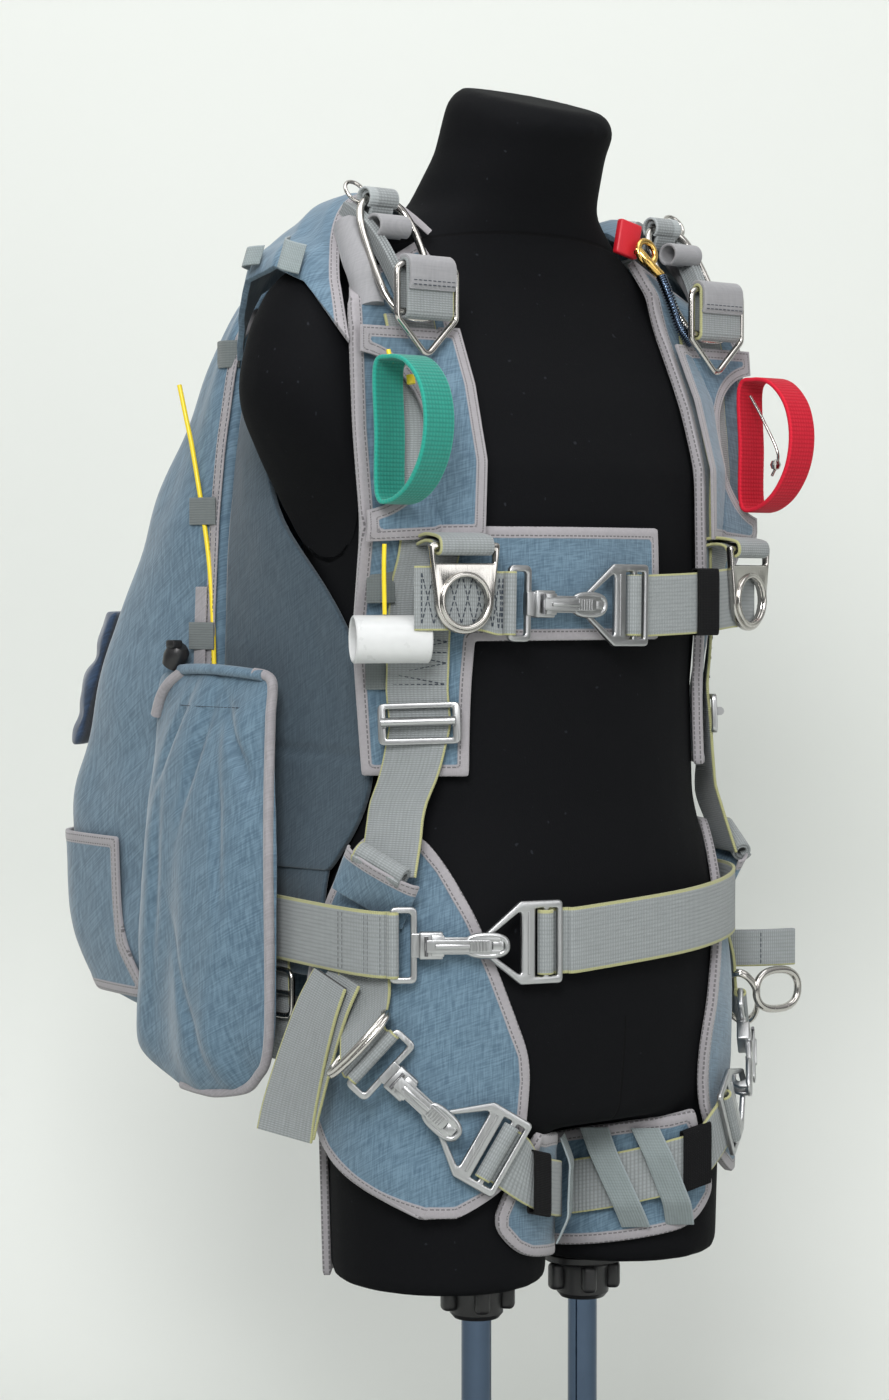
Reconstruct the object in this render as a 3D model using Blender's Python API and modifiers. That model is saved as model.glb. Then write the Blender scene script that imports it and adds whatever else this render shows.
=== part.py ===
"""Parachute harness and container pack, worn on a dress form that stands on two poles.

Metres, +Z up. The wearer faces -Y and the wearer's right side is -X. The origin is on the
underside of the base plate, below the body's axis.
"""
import math

import bmesh
import bpy
from mathutils import Matrix, Vector

RIGHT = -1
LEFT = 1
SIDE_NAMES = {RIGHT: "right", LEFT: "left"}

# Air between two pieces that touch, and sheet thicknesses
GAP = 0.0003
WEB = 0.0022
CLOTH = 0.0020
PAD = 0.0060
HIP_PAD = 0.0050
WING = 0.0050
YOKE = 0.0050

# Widths of the woven straps
HARNESS_WIDTH = 0.044
BELLY_WIDTH = 0.046
HANDLE_WIDTH = 0.026
RISER_WIDTH = 0.020

# Wire and rod radii
RING_WIRE = 0.0028
LINK_WIRE = 0.0024
D_RING_WIRE = 0.0030

# Sections of the dress form: height, half width, depth in front, depth behind, middle
FORM_POWER = 2.3
FORM_ROWS = (
    (0.352, 0.160, 0.088, 0.100, 0.004),
    (0.362, 0.168, 0.098, 0.110, 0.004),
    (0.420, 0.172, 0.108, 0.115, 0.008),
    (0.500, 0.165, 0.106, 0.105, 0.010),
    (0.580, 0.147, 0.098, 0.095, 0.016),
    (0.660, 0.148, 0.104, 0.095, 0.024),
    (0.740, 0.160, 0.112, 0.100, 0.030),
    (0.820, 0.170, 0.110, 0.108, 0.032),
    (0.870, 0.172, 0.094, 0.110, 0.034),
    (0.910, 0.170, 0.076, 0.108, 0.037),
    (0.950, 0.152, 0.062, 0.095, 0.042),
    (0.985, 0.110, 0.052, 0.075, 0.040),
    (1.010, 0.075, 0.052, 0.060, 0.030),
    (1.050, 0.062, 0.058, 0.058, 0.012),
    (1.076, 0.061, 0.056, 0.056, 0.000),
    (1.088, 0.052, 0.048, 0.048, -0.002),
)
# What the cloth on the thighs lies on, below the torso: the same columns
THIGH_ROWS = (
    (0.240, 0.172, 0.097, 0.100, 0.002),
    (0.340, 0.173, 0.103, 0.112, 0.004),
)
NECK_SLANT = 0.30
THIGH_CENTRE = (0.087, 0.003)
THIGH_RADII = (0.078, 0.085)
THIGH_TAPER = 0.95
THIGH_FOOT = 0.240
THIGH_TOP = 0.400
ARM_CENTRE = (0.182, 0.035, 0.855)
ARM_RADII = (0.045, 0.055, 0.105)

# Stand
BASE_FRONT = -0.24
BASE_REAR = 0.34
BASE_HALF_WIDTH = 0.24
BASE_THICK = 0.012
POLE_X = 0.053
POLE_RADIUS = 0.011
KNOB_RADIUS = 0.021
KNOB_HEIGHT = 0.034

# Container: height, half width, front, rear, rear corner radius
PACK_ROWS = (
    (0.400, 0.120, 0.165, 0.280, 0.050),
    (0.407, 0.150, 0.152, 0.318, 0.055),
    (0.425, 0.166, 0.148, 0.348, 0.055),
    (0.465, 0.172, 0.147, 0.372, 0.050),
    (0.540, 0.174, 0.147, 0.376, 0.050),
    (0.590, 0.174, 0.147, 0.366, 0.050),
    (0.650, 0.173, 0.147, 0.341, 0.048),
    (0.725, 0.170, 0.147, 0.305, 0.046),
    (0.786, 0.166, 0.147, 0.271, 0.044),
    (0.837, 0.160, 0.147, 0.246, 0.040),
    (0.888, 0.150, 0.147, 0.216, 0.032),
    (0.925, 0.140, 0.147, 0.198, 0.024),
    (0.955, 0.128, 0.147, 0.184, 0.017),
    (0.974, 0.112, 0.147, 0.173, 0.012),
)
PACK_FRONT_RADIUS = 0.006
PACK_BULGE = 0.006

# Front edge of the back pad's side wings: height, distance behind the body's axis
WING_ROWS = (
    (0.534, 0.034),
    (0.560, 0.014),
    (0.604, -0.003),
    (0.650, -0.002),
    (0.690, 0.010),
    (0.735, 0.034),
    (0.775, 0.080),
    (0.820, 0.104),
    (0.900, 0.108),
)

# Shoulder yokes: x, y and z of the inner edge, of the crown and of the outer edge
YOKE_ROWS = (
    (0.104, -0.008, 0.984, 0.140, 0.025, 1.008, 0.181, 0.000, 0.945),
    (0.098, 0.022, 0.999, 0.138, 0.045, 1.011, 0.180, 0.018, 0.970),
    (0.093, 0.050, 1.004, 0.134, 0.065, 1.009, 0.178, 0.047, 0.984),
    (0.088, 0.085, 0.999, 0.128, 0.090, 1.000, 0.176, 0.080, 0.976),
    (0.080, 0.118, 0.981, 0.118, 0.118, 0.984, 0.160, 0.112, 0.962),
    (0.072, 0.1450, 0.958, 0.108, 0.1450, 0.962, 0.138, 0.1450, 0.950),
)

# Shoulder pads, middle of the sheet: x, y, z of the inner edge, then of the outer edge
PAD_ROWS = (
    (0.105, 0.004, 0.978, 0.170, 0.000, 0.942),
    (0.103, -0.018, 0.952, 0.186, -0.019, 0.930),
    (0.104, -0.028, 0.910, 0.1905, -0.026, 0.912),
    (0.106, -0.050, 0.843, 0.1910, -0.030, 0.843),
    (0.1075, -0.058, 0.776, 0.1885, -0.035, 0.776),
    (0.111, -0.056, 0.698, 0.1730, -0.006, 0.698),
    (0.114, -0.052, 0.604, 0.1588, 0.0004, 0.604),
    (0.130, -0.045, 0.567, 0.1620, 0.006, 0.567),
    (0.140, -0.040, 0.530, 0.1720, 0.010, 0.530),
)
PANEL_TOP = 2
PANEL_FOOT = 4
CHEST_FLAP_ROWS = (4, 5)
PAD_FOOT = 6
CHEST_FLAP_END = -0.043

# Main lift webs: height, x of the inner edge, x of the outer edge
LIFT_ROWS = (
    (0.533, 0.1565, 0.1675),
    (0.567, 0.1440, 0.1580),
    (0.604, 0.1300, 0.1515),
    (0.640, 0.1220, 0.1500),
    (0.698, 0.1220, 0.1560),
    (0.776, 0.1200, 0.1620),
    (0.925, 0.1210, 0.1650),
)

# Hip pads on the body: height, angle of the rear edge, angle of the front edge
HIP_ROWS = (
    (0.300, 58.0, 47.0),
    (0.304, 70.0, 38.0),
    (0.322, 87.0, 31.0),
    (0.350, 104.0, 27.5),
    (0.391, 111.0, 26.3),
    (0.410, 112.0, 26.8),
    (0.464, 108.0, 35.0),
    (0.506, 100.0, 42.5),
    (0.540, 92.0, 52.0),
    (0.560, 84.0, 61.0),
)

# Leg pads round the thigh: angle from the front towards the crotch, foot, top
LEG_PAD_ROWS = (
    (-13.0, 0.288, 0.299),
    (-6.0, 0.276, 0.314),
    (1.0, 0.270, 0.341),
    (6.0, 0.267, 0.355),
    (15.0, 0.265, 0.349),
    (30.0, 0.262, 0.348),
    (65.0, 0.255, 0.340),
    (90.0, 0.252, 0.330),
    (130.0, 0.248, 0.335),
    (180.0, 0.243, 0.345),
    (232.0, 0.241, 0.345),
)
LEG_PAD_OFF = 0.0008
# Webbing on the leg pads: angle, height of its middle, distance off the thigh
LEG_BAND_ROWS = (
    (5.0, 0.3200, 0.0145),
    (20.0, 0.3130, 0.0110),
    (32.0, 0.3090, 0.0092),
    (44.0, 0.3050, 0.0088),
    (55.0, 0.3015, 0.0088),
    (66.0, 0.2980, 0.0088),
)
LEG_BAND_WIDTH = 0.040
# Belly band on the left: angle on the form, height
BELLY_BAND_ROWS = (
    (-12.0, 0.4895),
    (15.0, 0.4950),
    (40.0, 0.5000),
    (65.0, 0.5040),
    (90.0, 0.5050),
    (112.0, 0.5030),
)

# Side pouch on the right of the pack: height, front edge, rear edge, fullness
POUCH_ROWS = (
    (0.3660, 0.125, 0.185, 0.005),
    (0.3735, 0.101, 0.211, 0.011),
    (0.3850, 0.084, 0.230, 0.016),
    (0.3960, 0.074, 0.241, 0.020),
    (0.4200, 0.069, 0.243, 0.023),
    (0.4700, 0.068, 0.234, 0.026),
    (0.5300, 0.067, 0.227, 0.026),
    (0.5850, 0.067, 0.218, 0.024),
    (0.6400, 0.068, 0.212, 0.016),
    (0.6720, 0.070, 0.209, 0.007),
)
POUCH_LAYER = 0.004
# The pouch's back stands off the side wing, and lies on the container behind it
POUCH_OFF = 0.0075
POUCH_NEAR = 0.0012
POUCH_CLEAR_Y = 0.150

# Snap, lever and V adapter, measured along the strap from the snap frame's outer edge
FRAME_LENGTH = 0.019
FRAME_WIDTH = 0.053
FRAME_BAR = 0.0045
FRAME_THICK = 0.0042
BLOCK_START = 0.0185
BLOCK_END = 0.0370
BLOCK_WIDTH = 0.020
BLOCK_TOP = 0.0060
BLOCK_FOOT = -0.0040
HOOK_START = 0.0360
HOOK_END = 0.0790
HOOK_WIDTH = 0.0120
HOOK_LOW = 0.0028
HOOK_TOP = 0.0070
LIP_LOW = -0.0078
LIP_HIGH = -0.0048
LIP_LENGTH = 0.0125
LEVER_START = 0.0240
LEVER_END = 0.0700
LEVER_WIDTH = 0.0090
LEVER_THICK = 0.0016
LEVER_RISE = 0.0006
LEVER_PIVOT = 0.0006
VEE_START = 0.0640
VEE_SHOULDER = 0.0285
VEE_END = 0.0605
VEE_WIDTH = 0.0580
VEE_THICK = 0.0040
VEE_BAR = 0.0042
VEE_SLOTS = ((0.0395, 0.0455), (0.0500, VEE_END - VEE_BAR))

# Places of the snaps: start of the frame, direction of the hook, outward direction, then
# direction and outward direction of the V adapter that hangs in the hook
CHEST_FITTING = (
    (-0.1045, -0.0905, 0.7235), (0.9935, -0.105, -0.020), (-0.10, -1.0, 0.0),
    (0.9980, -0.060, -0.010), (-0.06, -1.0, 0.0),
)
BELLY_FITTING = (
    (-0.1744, -0.0469, 0.4890), (0.785, -0.619, 0.0), (-0.619, -0.785, 0.0),
    (0.955, -0.296, 0.0), (-0.296, -0.955, 0.0),
)
LEG_FITTING = (
    (0.1843, -0.0385, 0.4135), (-0.527, -0.511, -0.677), (0.62, -0.78, 0.0),
    (-0.742, -0.421, -0.522), (0.40, -0.917, 0.0),
)

# Straps and covers above the middle of the shoulder pads
LIFT_LIFT = PAD / 2 + 0.0025 + WEB / 2
PANEL_LIFT = LIFT_LIFT + WEB / 2 + 0.0014 + CLOTH / 2
# Curved opening of each front panel for the handle
OPENING_MIDDLE = (0.196, 0.840)
OPENING_RADIUS = 0.054

# Long rings on the shoulders and the links that hang in them
RING_TOP = Vector((0.140, 0.006, 1.0060))
RING_FOOT = Vector((0.144, -0.0421, 0.9190))
RING_HALF_WIDTH = 0.025
LINK_Y = -0.0490
LINK_X = 0.1425
LINK_HALF_WIDTH = 0.0265
LINK_TOP = 0.9550
LINK_BAR = 0.9230
LINK_FOOT = 0.8990

# Chest rings: middle of the plate, its turn about Z, then its outline
CHEST_RING_MIDDLE = Vector((0.140, -0.0850, 0.7310))
CHEST_RING_TURN = 12.0
CHEST_RING_THICK = 0.0052
CHEST_RING_ROUND = 0.0225
CHEST_RING_EYE = 0.0165
CHEST_RING_DROP = 0.0060
CHEST_SLOT_HALF = (0.0228, 0.0045)
CHEST_SLOT_RISE = 0.0245

# Friction adapters on the lift webs
ADAPTER_HEIGHT = 0.640
ADAPTER_HALF = (0.0145, 0.0290)
ADAPTER_THICK = 0.0040

# Handles: middle across, depth of their flat side, then depth and height along each loop
HANDLE_X = 0.1780
HANDLE_ROOT = 0.0524
HANDLE_ROWS = (
    (0.0000, 0.7980),
    (-0.0008, 0.8400),
    (-0.0020, 0.8840),
    (0.0120, 0.8900),
    (0.0300, 0.8860),
    (0.0450, 0.8700),
    (0.0505, 0.8470),
    (0.0460, 0.8230),
    (0.0320, 0.8030),
    (0.0130, 0.7930),
)

# White tube, and the web loop and ring on the left hip
TUBE_MIDDLE = Vector((-0.1739, -0.0479, 0.6990))
TUBE_AXIS = Vector((0.875, -0.485, 0.0))
TUBE_RADII = (0.0140, 0.0165)
TUBE_LENGTH = 0.053
SIDE_RING_MIDDLE = Vector((0.2105, -0.0500, 0.4271))
SIDE_RING_HALF = (0.0205, 0.0150)
FOLDED_WEB = 0.0050

# Straps under the fittings that they pass round
STRAP_UNDER_FRAME = -(FRAME_THICK / 2 + WEB / 2 + 0.0008)
STRAP_UNDER_VEE = -(VEE_THICK / 2 + WEB / 2 + 0.0008)

COLOURS = {
    "blue cloth": ((0.118, 0.205, 0.300), 0.85, 0.0),
    "grey webbing": ((0.330, 0.340, 0.320), 0.80, 0.0),
    "form cover": ((0.008, 0.009, 0.012), 0.90, 0.0),
    "navy cloth": ((0.022, 0.050, 0.090), 0.85, 0.0),
    "green webbing": ((0.005, 0.200, 0.140), 0.75, 0.0),
    "red webbing": ((0.550, 0.020, 0.035), 0.75, 0.0),
    "yellow coating": ((0.800, 0.620, 0.030), 0.40, 0.0),
    "white plastic": ((0.850, 0.850, 0.850), 0.35, 0.0),
    "polished steel": ((0.620, 0.620, 0.600), 0.18, 1.0),
    "satin alloy": ((0.560, 0.570, 0.580), 0.38, 1.0),
    "chrome": ((0.650, 0.660, 0.680), 0.08, 1.0),
}


def between(rows, at):
    """The values of a table at a place in its first column, straight between its rows."""
    if at <= rows[0][0]:
        return rows[0][1:]
    for low, high in zip(rows, rows[1:]):
        if at <= high[0]:
            share = (at - low[0]) / (high[0] - low[0])
            return tuple(a + (b - a) * share for a, b in zip(low[1:], high[1:]))
    return rows[-1][1:]


def blend(low, high, share):
    return low + (high - low) * share


def power(value, exponent):
    return math.copysign(abs(value) ** exponent, value)


def start_scene():
    for thing in list(bpy.data.objects):
        bpy.data.objects.remove(thing)
    for name in ("parachute", "cutters"):
        bpy.context.scene.collection.children.link(bpy.data.collections.new(name))


def finish_of(name):
    """The material of a finish, made the first time that it is asked for."""
    material = bpy.data.materials.get(name)
    if material is None:
        colour, roughness, metallic = COLOURS[name]
        material = bpy.data.materials.new(name)
        material.use_nodes = True
        shader = material.node_tree.nodes["Principled BSDF"]
        shader.inputs["Base Color"].default_value = (*colour, 1.0)
        shader.inputs["Roughness"].default_value = roughness
        shader.inputs["Metallic"].default_value = metallic
    return material


def add(name, data, finish, collection="parachute"):
    thing = bpy.data.objects.new(name, data)
    bpy.data.collections[collection].objects.link(thing)
    if finish:
        data.materials.append(finish_of(finish))
    return thing


def mesh_from(work, name):
    mesh = bpy.data.meshes.new(name)
    work.to_mesh(mesh)
    work.free()
    return mesh


def sheet(name, place, cells, thick, finish, keep=None, ring=False):
    """A cloth or strap: a grid laid by place(across, along), both 0 to 1, and given its thickness."""
    work = bmesh.new()
    bmesh.ops.create_grid(work, x_segments=cells[0], y_segments=cells[1], size=0.5)
    low = min(vert.co.x for vert in work.verts)
    span = max(vert.co.x for vert in work.verts) - low
    if keep:
        middles = {face: face.calc_center_median() for face in work.faces}
        dropped = [
            face for face, middle in middles.items()
            if not keep((middle.x - low) / span, (middle.y - low) / span)
        ]
        bmesh.ops.delete(work, geom=dropped, context="FACES")
    for vert in work.verts:
        vert.co = place((vert.co.x - low) / span, (vert.co.y - low) / span)
    if ring:
        bmesh.ops.remove_doubles(work, verts=work.verts, dist=0.00001)
    bmesh.ops.recalc_face_normals(work, faces=work.faces)
    thing = add(name, mesh_from(work, name), finish)
    solid = thing.modifiers.new("thickness", "SOLIDIFY")
    solid.thickness = thick
    solid.offset = 0.0
    return thing


def loft(name, rings, finish):
    """A closed body through rings of the same number of points, first ring lowest."""
    work = bmesh.new()
    loops = [[work.verts.new(point) for point in ring] for ring in rings]
    count = len(rings[0])
    for low, high in zip(loops, loops[1:]):
        for index in range(count):
            after = (index + 1) % count
            work.faces.new((low[index], low[after], high[after], high[index]))
    work.faces.new(list(reversed(loops[0])))
    work.faces.new(loops[-1])
    bmesh.ops.recalc_face_normals(work, faces=work.faces)
    return add(name, mesh_from(work, name), finish)


def wire(name, points, radius, finish, closed=False, sides=1):
    """A rod or wire of round section along straight runs between its points."""
    curve = bpy.data.curves.new(name, "CURVE")
    curve.dimensions = "3D"
    spline = curve.splines.new("POLY")
    spline.points.add(len(points) - 1)
    for knot, point in zip(spline.points, points):
        knot.co = (*point, 1.0)
    spline.use_cyclic_u = closed
    curve.bevel_depth = radius
    curve.bevel_resolution = sides
    curve.use_fill_caps = not closed
    return add(name, curve, finish)


def as_mesh(thing):
    """The mesh that an object shows, with its place in it and its caps welded."""
    graph = bpy.context.evaluated_depsgraph_get()
    mesh = bpy.data.meshes.new_from_object(thing.evaluated_get(graph))
    mesh.transform(thing.matrix_world)
    work = bmesh.new()
    work.from_mesh(mesh)
    bmesh.ops.remove_doubles(work, verts=work.verts, dist=0.000002)
    bmesh.ops.recalc_face_normals(work, faces=work.faces)
    work.to_mesh(mesh)
    work.free()
    bpy.data.objects.remove(thing)
    return mesh


def flat(outline, holes, low, high):
    """A flat mesh of an outline with holes, between two heights."""
    curve = bpy.data.curves.new("outline", "CURVE")
    curve.dimensions = "2D"
    curve.fill_mode = "BOTH"
    curve.extrude = (high - low) / 2
    for points in (outline, *holes):
        spline = curve.splines.new("POLY")
        spline.points.add(len(points) - 1)
        for knot, (x, y) in zip(spline.points, points):
            knot.co = (x, y, 0.0, 1.0)
        spline.use_cyclic_u = True
    thing = add("outline", curve, None)
    thing.location.z = (high + low) / 2
    bpy.context.view_layer.update()
    return as_mesh(thing)


def box_mesh(low, high):
    work = bmesh.new()
    bmesh.ops.create_cube(work, size=1.0)
    size = Vector(high) - Vector(low)
    middle = (Vector(high) + Vector(low)) / 2
    bmesh.ops.scale(work, vec=size, verts=work.verts)
    bmesh.ops.translate(work, vec=middle, verts=work.verts)
    return mesh_from(work, "box")


def rounded(corners, radius, steps=2):
    """The corners of an outline turned into short arcs."""
    points = []
    count = len(corners)
    for index, corner in enumerate(corners):
        here = Vector(corner)
        before = (Vector(corners[index - 1]) - here).normalized()
        after = (Vector(corners[(index + 1) % count]) - here).normalized()
        half = before.angle(after) / 2
        reach = radius / math.tan(half)
        start = here + before * reach
        end = here + after * reach
        for step in range(steps + 1):
            share = step / steps
            first = start.lerp(here, share)
            second = here.lerp(end, share)
            points.append(tuple(first.lerp(second, share)))
    return points


def rectangle(left, right, half_width):
    return [(left, -half_width), (right, -half_width), (right, half_width), (left, half_width)]


def united(name, meshes, matrix, finish):
    """One solid from several overlapping meshes, set in its place."""
    first, *others = meshes
    first.transform(matrix)
    thing = add(name, first, finish)
    for index, mesh in enumerate(others):
        mesh.transform(matrix)
        guide = add(f"{name} addition {index}", mesh, None, "cutters")
        guide.hide_render = True
        guide.display_type = "WIRE"
        union = thing.modifiers.new("union", "BOOLEAN")
        union.operation = "UNION"
        union.object = guide
    return thing


def cut(thing, mesh):
    guide = add(f"{thing.name} cutter", mesh, None, "cutters")
    guide.hide_render = True
    guide.display_type = "WIRE"
    opening = thing.modifiers.new("opening", "BOOLEAN")
    opening.operation = "DIFFERENCE"
    opening.object = guide


def form_section(height):
    """Half width, depth in front, depth behind and middle of the form at a height."""
    if height < FORM_ROWS[1][0]:
        return between((*THIGH_ROWS, FORM_ROWS[1]), height)
    return between(FORM_ROWS, height)


def form_point(angle, height, off):
    """A point off the dress form's side: angle from the front, positive to the left."""
    half_width, front, rear, middle = form_section(height)
    turn = math.radians(angle)
    depth = front if math.cos(turn) > 0 else rear
    x = (half_width + off) * power(math.sin(turn), 2 / FORM_POWER)
    y = middle - (depth + off) * power(math.cos(turn), 2 / FORM_POWER)
    return Vector((x, y, height))


def ring_point(row, angle):
    """A point of the torso's own ring, which closes under the crotch."""
    height, half_width, front, rear, middle = row
    turn = math.radians(angle)
    depth = front if math.cos(turn) > 0 else rear
    x = half_width * power(math.sin(turn), 2 / FORM_POWER)
    return Vector((x, middle - depth * power(math.cos(turn), 2 / FORM_POWER), height))


def form_front(x, height, off):
    """How far forward the dress form comes at x, with a layer of air or cloth on it."""
    half_width, front, _, middle = form_section(height)
    share = min(abs(x) / (half_width + off), 1.0)
    return middle - (front + off) * (1 - share ** FORM_POWER) ** (1 / FORM_POWER)


def thigh_point(side, angle, height, off):
    """A point off the thigh: angle from the front towards the crotch."""
    turn = math.radians(angle)
    share = min((height - THIGH_FOOT) / (THIGH_TOP - THIGH_FOOT), 1.0)
    radii = [radius * blend(THIGH_TAPER, 1.0, share) + off for radius in THIGH_RADII]
    x = THIGH_CENTRE[0] - radii[0] * math.sin(turn)
    y = THIGH_CENTRE[1] - radii[1] * math.cos(turn)
    if math.cos(turn) > 0 and height > FORM_ROWS[0][0]:
        y = min(y, form_front(x, height, off))
    return Vector((side * x, y, height))


def turned(name, profile, finish, steps=20):
    """A body turned about Z from a profile that runs down its outer side."""
    work = bmesh.new()
    points = [work.verts.new((x, 0, z)) for x, z in profile]
    for first, second in zip(points, points[1:]):
        work.edges.new((first, second))
    thing = add(name, mesh_from(work, name), finish)
    screw = thing.modifiers.new("turned", "SCREW")
    screw.steps = steps
    screw.render_steps = steps
    screw.use_merge_vertices = True
    screw.merge_threshold = 0.00001
    return thing


def make_stand():
    """A base plate with two poles, each with the knob that clamps it into a thigh."""
    low = (-BASE_HALF_WIDTH, BASE_FRONT, 0.0)
    high = (BASE_HALF_WIDTH, BASE_REAR, BASE_THICK)
    knob_foot = THIGH_FOOT - GAP - KNOB_HEIGHT
    profile = (
        (0.0, THIGH_FOOT - GAP),
        (0.030, THIGH_FOOT - GAP),
        (0.030, THIGH_FOOT - 0.006),
        (KNOB_RADIUS, THIGH_FOOT - 0.010),
        (KNOB_RADIUS, knob_foot + 0.004),
        (KNOB_RADIUS - 0.004, knob_foot),
        (POLE_RADIUS, knob_foot),
        (POLE_RADIUS, BASE_THICK / 2),
        (0.0, BASE_THICK / 2),
    )
    meshes = [box_mesh(low, high)]
    for side in (RIGHT, LEFT):
        pole = turned("pole", profile, None)
        pole.location.x = side * POLE_X
        bpy.context.view_layer.update()
        meshes.append(as_mesh(pole))
    united("stand", meshes, Matrix(), "chrome")


def make_form():
    count = len(FORM_ROWS)
    work = bmesh.new()
    bmesh.ops.create_uvsphere(work, u_segments=36, v_segments=count + 1, radius=1.0)
    for vert in work.verts:
        level = round(math.acos(max(-1.0, min(1.0, -vert.co.z))) / math.pi * (count + 1))
        row = FORM_ROWS[min(max(level - 1, 0), count - 1)]
        if level in (0, count + 1):
            point = Vector((0, row[4], row[0]))
        else:
            angle = math.degrees(math.atan2(vert.co.x, -vert.co.y))
            point = ring_point(row, angle)
        if row[0] > FORM_ROWS[-3][0]:
            point.z += (point.y - row[4]) * NECK_SLANT
        vert.co = point
    torso = mesh_from(work, "form_body")
    extra = []
    for side in (RIGHT, LEFT):
        work = bmesh.new()
        bmesh.ops.create_cone(
            work, cap_ends=True, segments=24, radius1=THIGH_TAPER, radius2=1.0, depth=1.0)
        height = THIGH_TOP - THIGH_FOOT
        bmesh.ops.scale(work, vec=(*THIGH_RADII, height), verts=work.verts)
        middle = (side * THIGH_CENTRE[0], THIGH_CENTRE[1], THIGH_FOOT + height / 2)
        bmesh.ops.translate(work, vec=middle, verts=work.verts)
        extra.append(mesh_from(work, "thigh"))
        work = bmesh.new()
        bmesh.ops.create_uvsphere(work, u_segments=16, v_segments=10, radius=1.0)
        bmesh.ops.scale(work, vec=ARM_RADII, verts=work.verts)
        bmesh.ops.translate(work, vec=(side * ARM_CENTRE[0], *ARM_CENTRE[1:]), verts=work.verts)
        extra.append(mesh_from(work, "arm"))
    united("form_body", [torso, *extra], Matrix(), "form cover")


def pack_section(height, half_width, front, rear, radius):
    """A level section of the container, soft on its sides and rear."""
    half = [(half_width - PACK_FRONT_RADIUS, front)]
    for step in range(4):
        share = step / 4
        y = blend(front + PACK_FRONT_RADIUS, rear - radius, share)
        half.append((half_width + swell(share), y))
    for step in range(5):
        turn = math.radians(90 * step / 4)
        half.append((half_width - radius * (1 - math.cos(turn)), rear - radius * (1 - math.sin(turn))))
    half.append(((half_width - radius) / 2, rear + swell(0.25)))
    ring = [(0.0, front), *half, (0.0, rear + swell(0.5))]
    ring += [(-x, y) for x, y in reversed(half)]
    return [Vector((x, y, height)) for x, y in ring]


def swell(share):
    """How far the packed container's walls bulge, along their straight run."""
    return 4 * share * (1 - share) * PACK_BULGE


def pack_wall(y, height, off):
    """Half the container's width at a depth and height, plus a layer on it."""
    half_width, front, rear, radius = between(PACK_ROWS, height)
    straight = rear - radius
    if y < straight:
        start = front + PACK_FRONT_RADIUS
        return half_width + swell(max((y - start) / (straight - start), 0.0)) + off
    reach = min((y - straight) / (radius + off), 1.0)
    return half_width - radius + (radius + off) * math.sqrt(1 - reach * reach)


def make_pack():
    rings = [pack_section(*row) for row in PACK_ROWS]
    loft("pack_body", rings, "blue cloth")
    for side in (RIGHT, LEFT):
        def wing(across, along, side=side):
            low, high = WING_ROWS[0][0], WING_ROWS[-1][0]
            height = blend(low, high, along)
            front_edge, = between(WING_ROWS, height)
            seam = between(PACK_ROWS, height)[1] - 2 * GAP
            y = blend(front_edge, seam, across)
            body_width, _, _, middle = between(FORM_ROWS, height)
            near = body_width + WING / 2 + 0.0008
            far = between(PACK_ROWS, height)[0] - WING / 2 - PACK_FRONT_RADIUS * 0.3
            share = max((y - middle) / (seam - middle), 0.0)
            quilt = 0.004 * math.sin(math.pi * across) * math.sin(math.pi * along)
            return Vector((side * (blend(near, far, share) + quilt), y, height))
        sheet(f"side_wing_{SIDE_NAMES[side]}", wing, (5, 12), WING, "blue cloth")

        def yoke(across, along, side=side):
            at = along * (len(YOKE_ROWS) - 1)
            index = min(int(at), len(YOKE_ROWS) - 2)
            row = [blend(a, b, at - index) for a, b in zip(YOKE_ROWS[index], YOKE_ROWS[index + 1])]
            inner, crown, outer = (Vector(row[start:start + 3]) for start in (0, 3, 6))
            point = (inner * (1 - across) * (1 - 2 * across) + crown * 4 * across * (1 - across)
                     + outer * across * (2 * across - 1))
            return mirrored(point, side)
        sheet(f"yoke_{SIDE_NAMES[side]}", yoke, (8, 10), YOKE, "blue cloth")


def pouch_layer(row, across, full):
    """The pouch's back layer, or its full front, on one of its level rows."""
    height, front, rear, depth = row
    y = blend(front, rear, across)
    wall = pack_wall(max(y, 0.155), max(height, 0.465), 0.0)
    near = min(max((y - POUCH_CLEAR_Y) / 0.020, 0.0), 1.0)
    layer = blend(POUCH_OFF, POUCH_NEAR, near)
    crown = depth * max(math.sin(math.pi * across), 0.0) ** 0.7
    sag = 0.004 * math.sin(9 * across + 12 * height) * crown / 0.024
    return Vector((-(wall + layer + full * (crown + sag)), y, height))


def mirrored(point, side):
    return Vector((side * point.x, point.y, point.z))


def make_pouches():
    """The side pouch is one filled cloth bag, the rear one a rolled navy bag on the rear corner."""
    columns = 8
    rings = []
    for row in POUCH_ROWS:
        outer = [pouch_layer(row, column / columns, 1.0) - Vector((POUCH_LAYER, 0, 0))
                 for column in range(columns + 1)]
        inner = [pouch_layer(row, column / columns, 0.0) for column in range(columns, -1, -1)]
        rings.append(outer + inner)
    loft("side_pouch", rings, "blue cloth")

    def rear_bag(height):
        _, _, rear, radius = between(PACK_ROWS, height)
        half_width = between(PACK_ROWS, height)[0]
        share = (height - 0.612) / 0.104
        bulk = 0.027 + 0.012 * math.sin(math.pi * share) + 0.004 * math.sin(14 * share)
        points = []
        for step in range(9):
            x = blend(-half_width + 0.010, -0.060, step / 8)
            points.append(Vector((x, corner_rear(x, height) + 0.0020, height)))
        for step in range(8, -1, -1):
            x = blend(-half_width + 0.004, -0.060, step / 8)
            edge = math.sin(math.pi * min(max(step / 8, 0.06), 0.94)) ** 0.5
            points.append(Vector((x, corner_rear(x, height) + 0.0020 + bulk * edge, height)))
        return points
    loft("rear_pouch", [rear_bag(blend(0.612, 0.716, step / 6)) for step in range(7)], "navy cloth")


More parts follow.
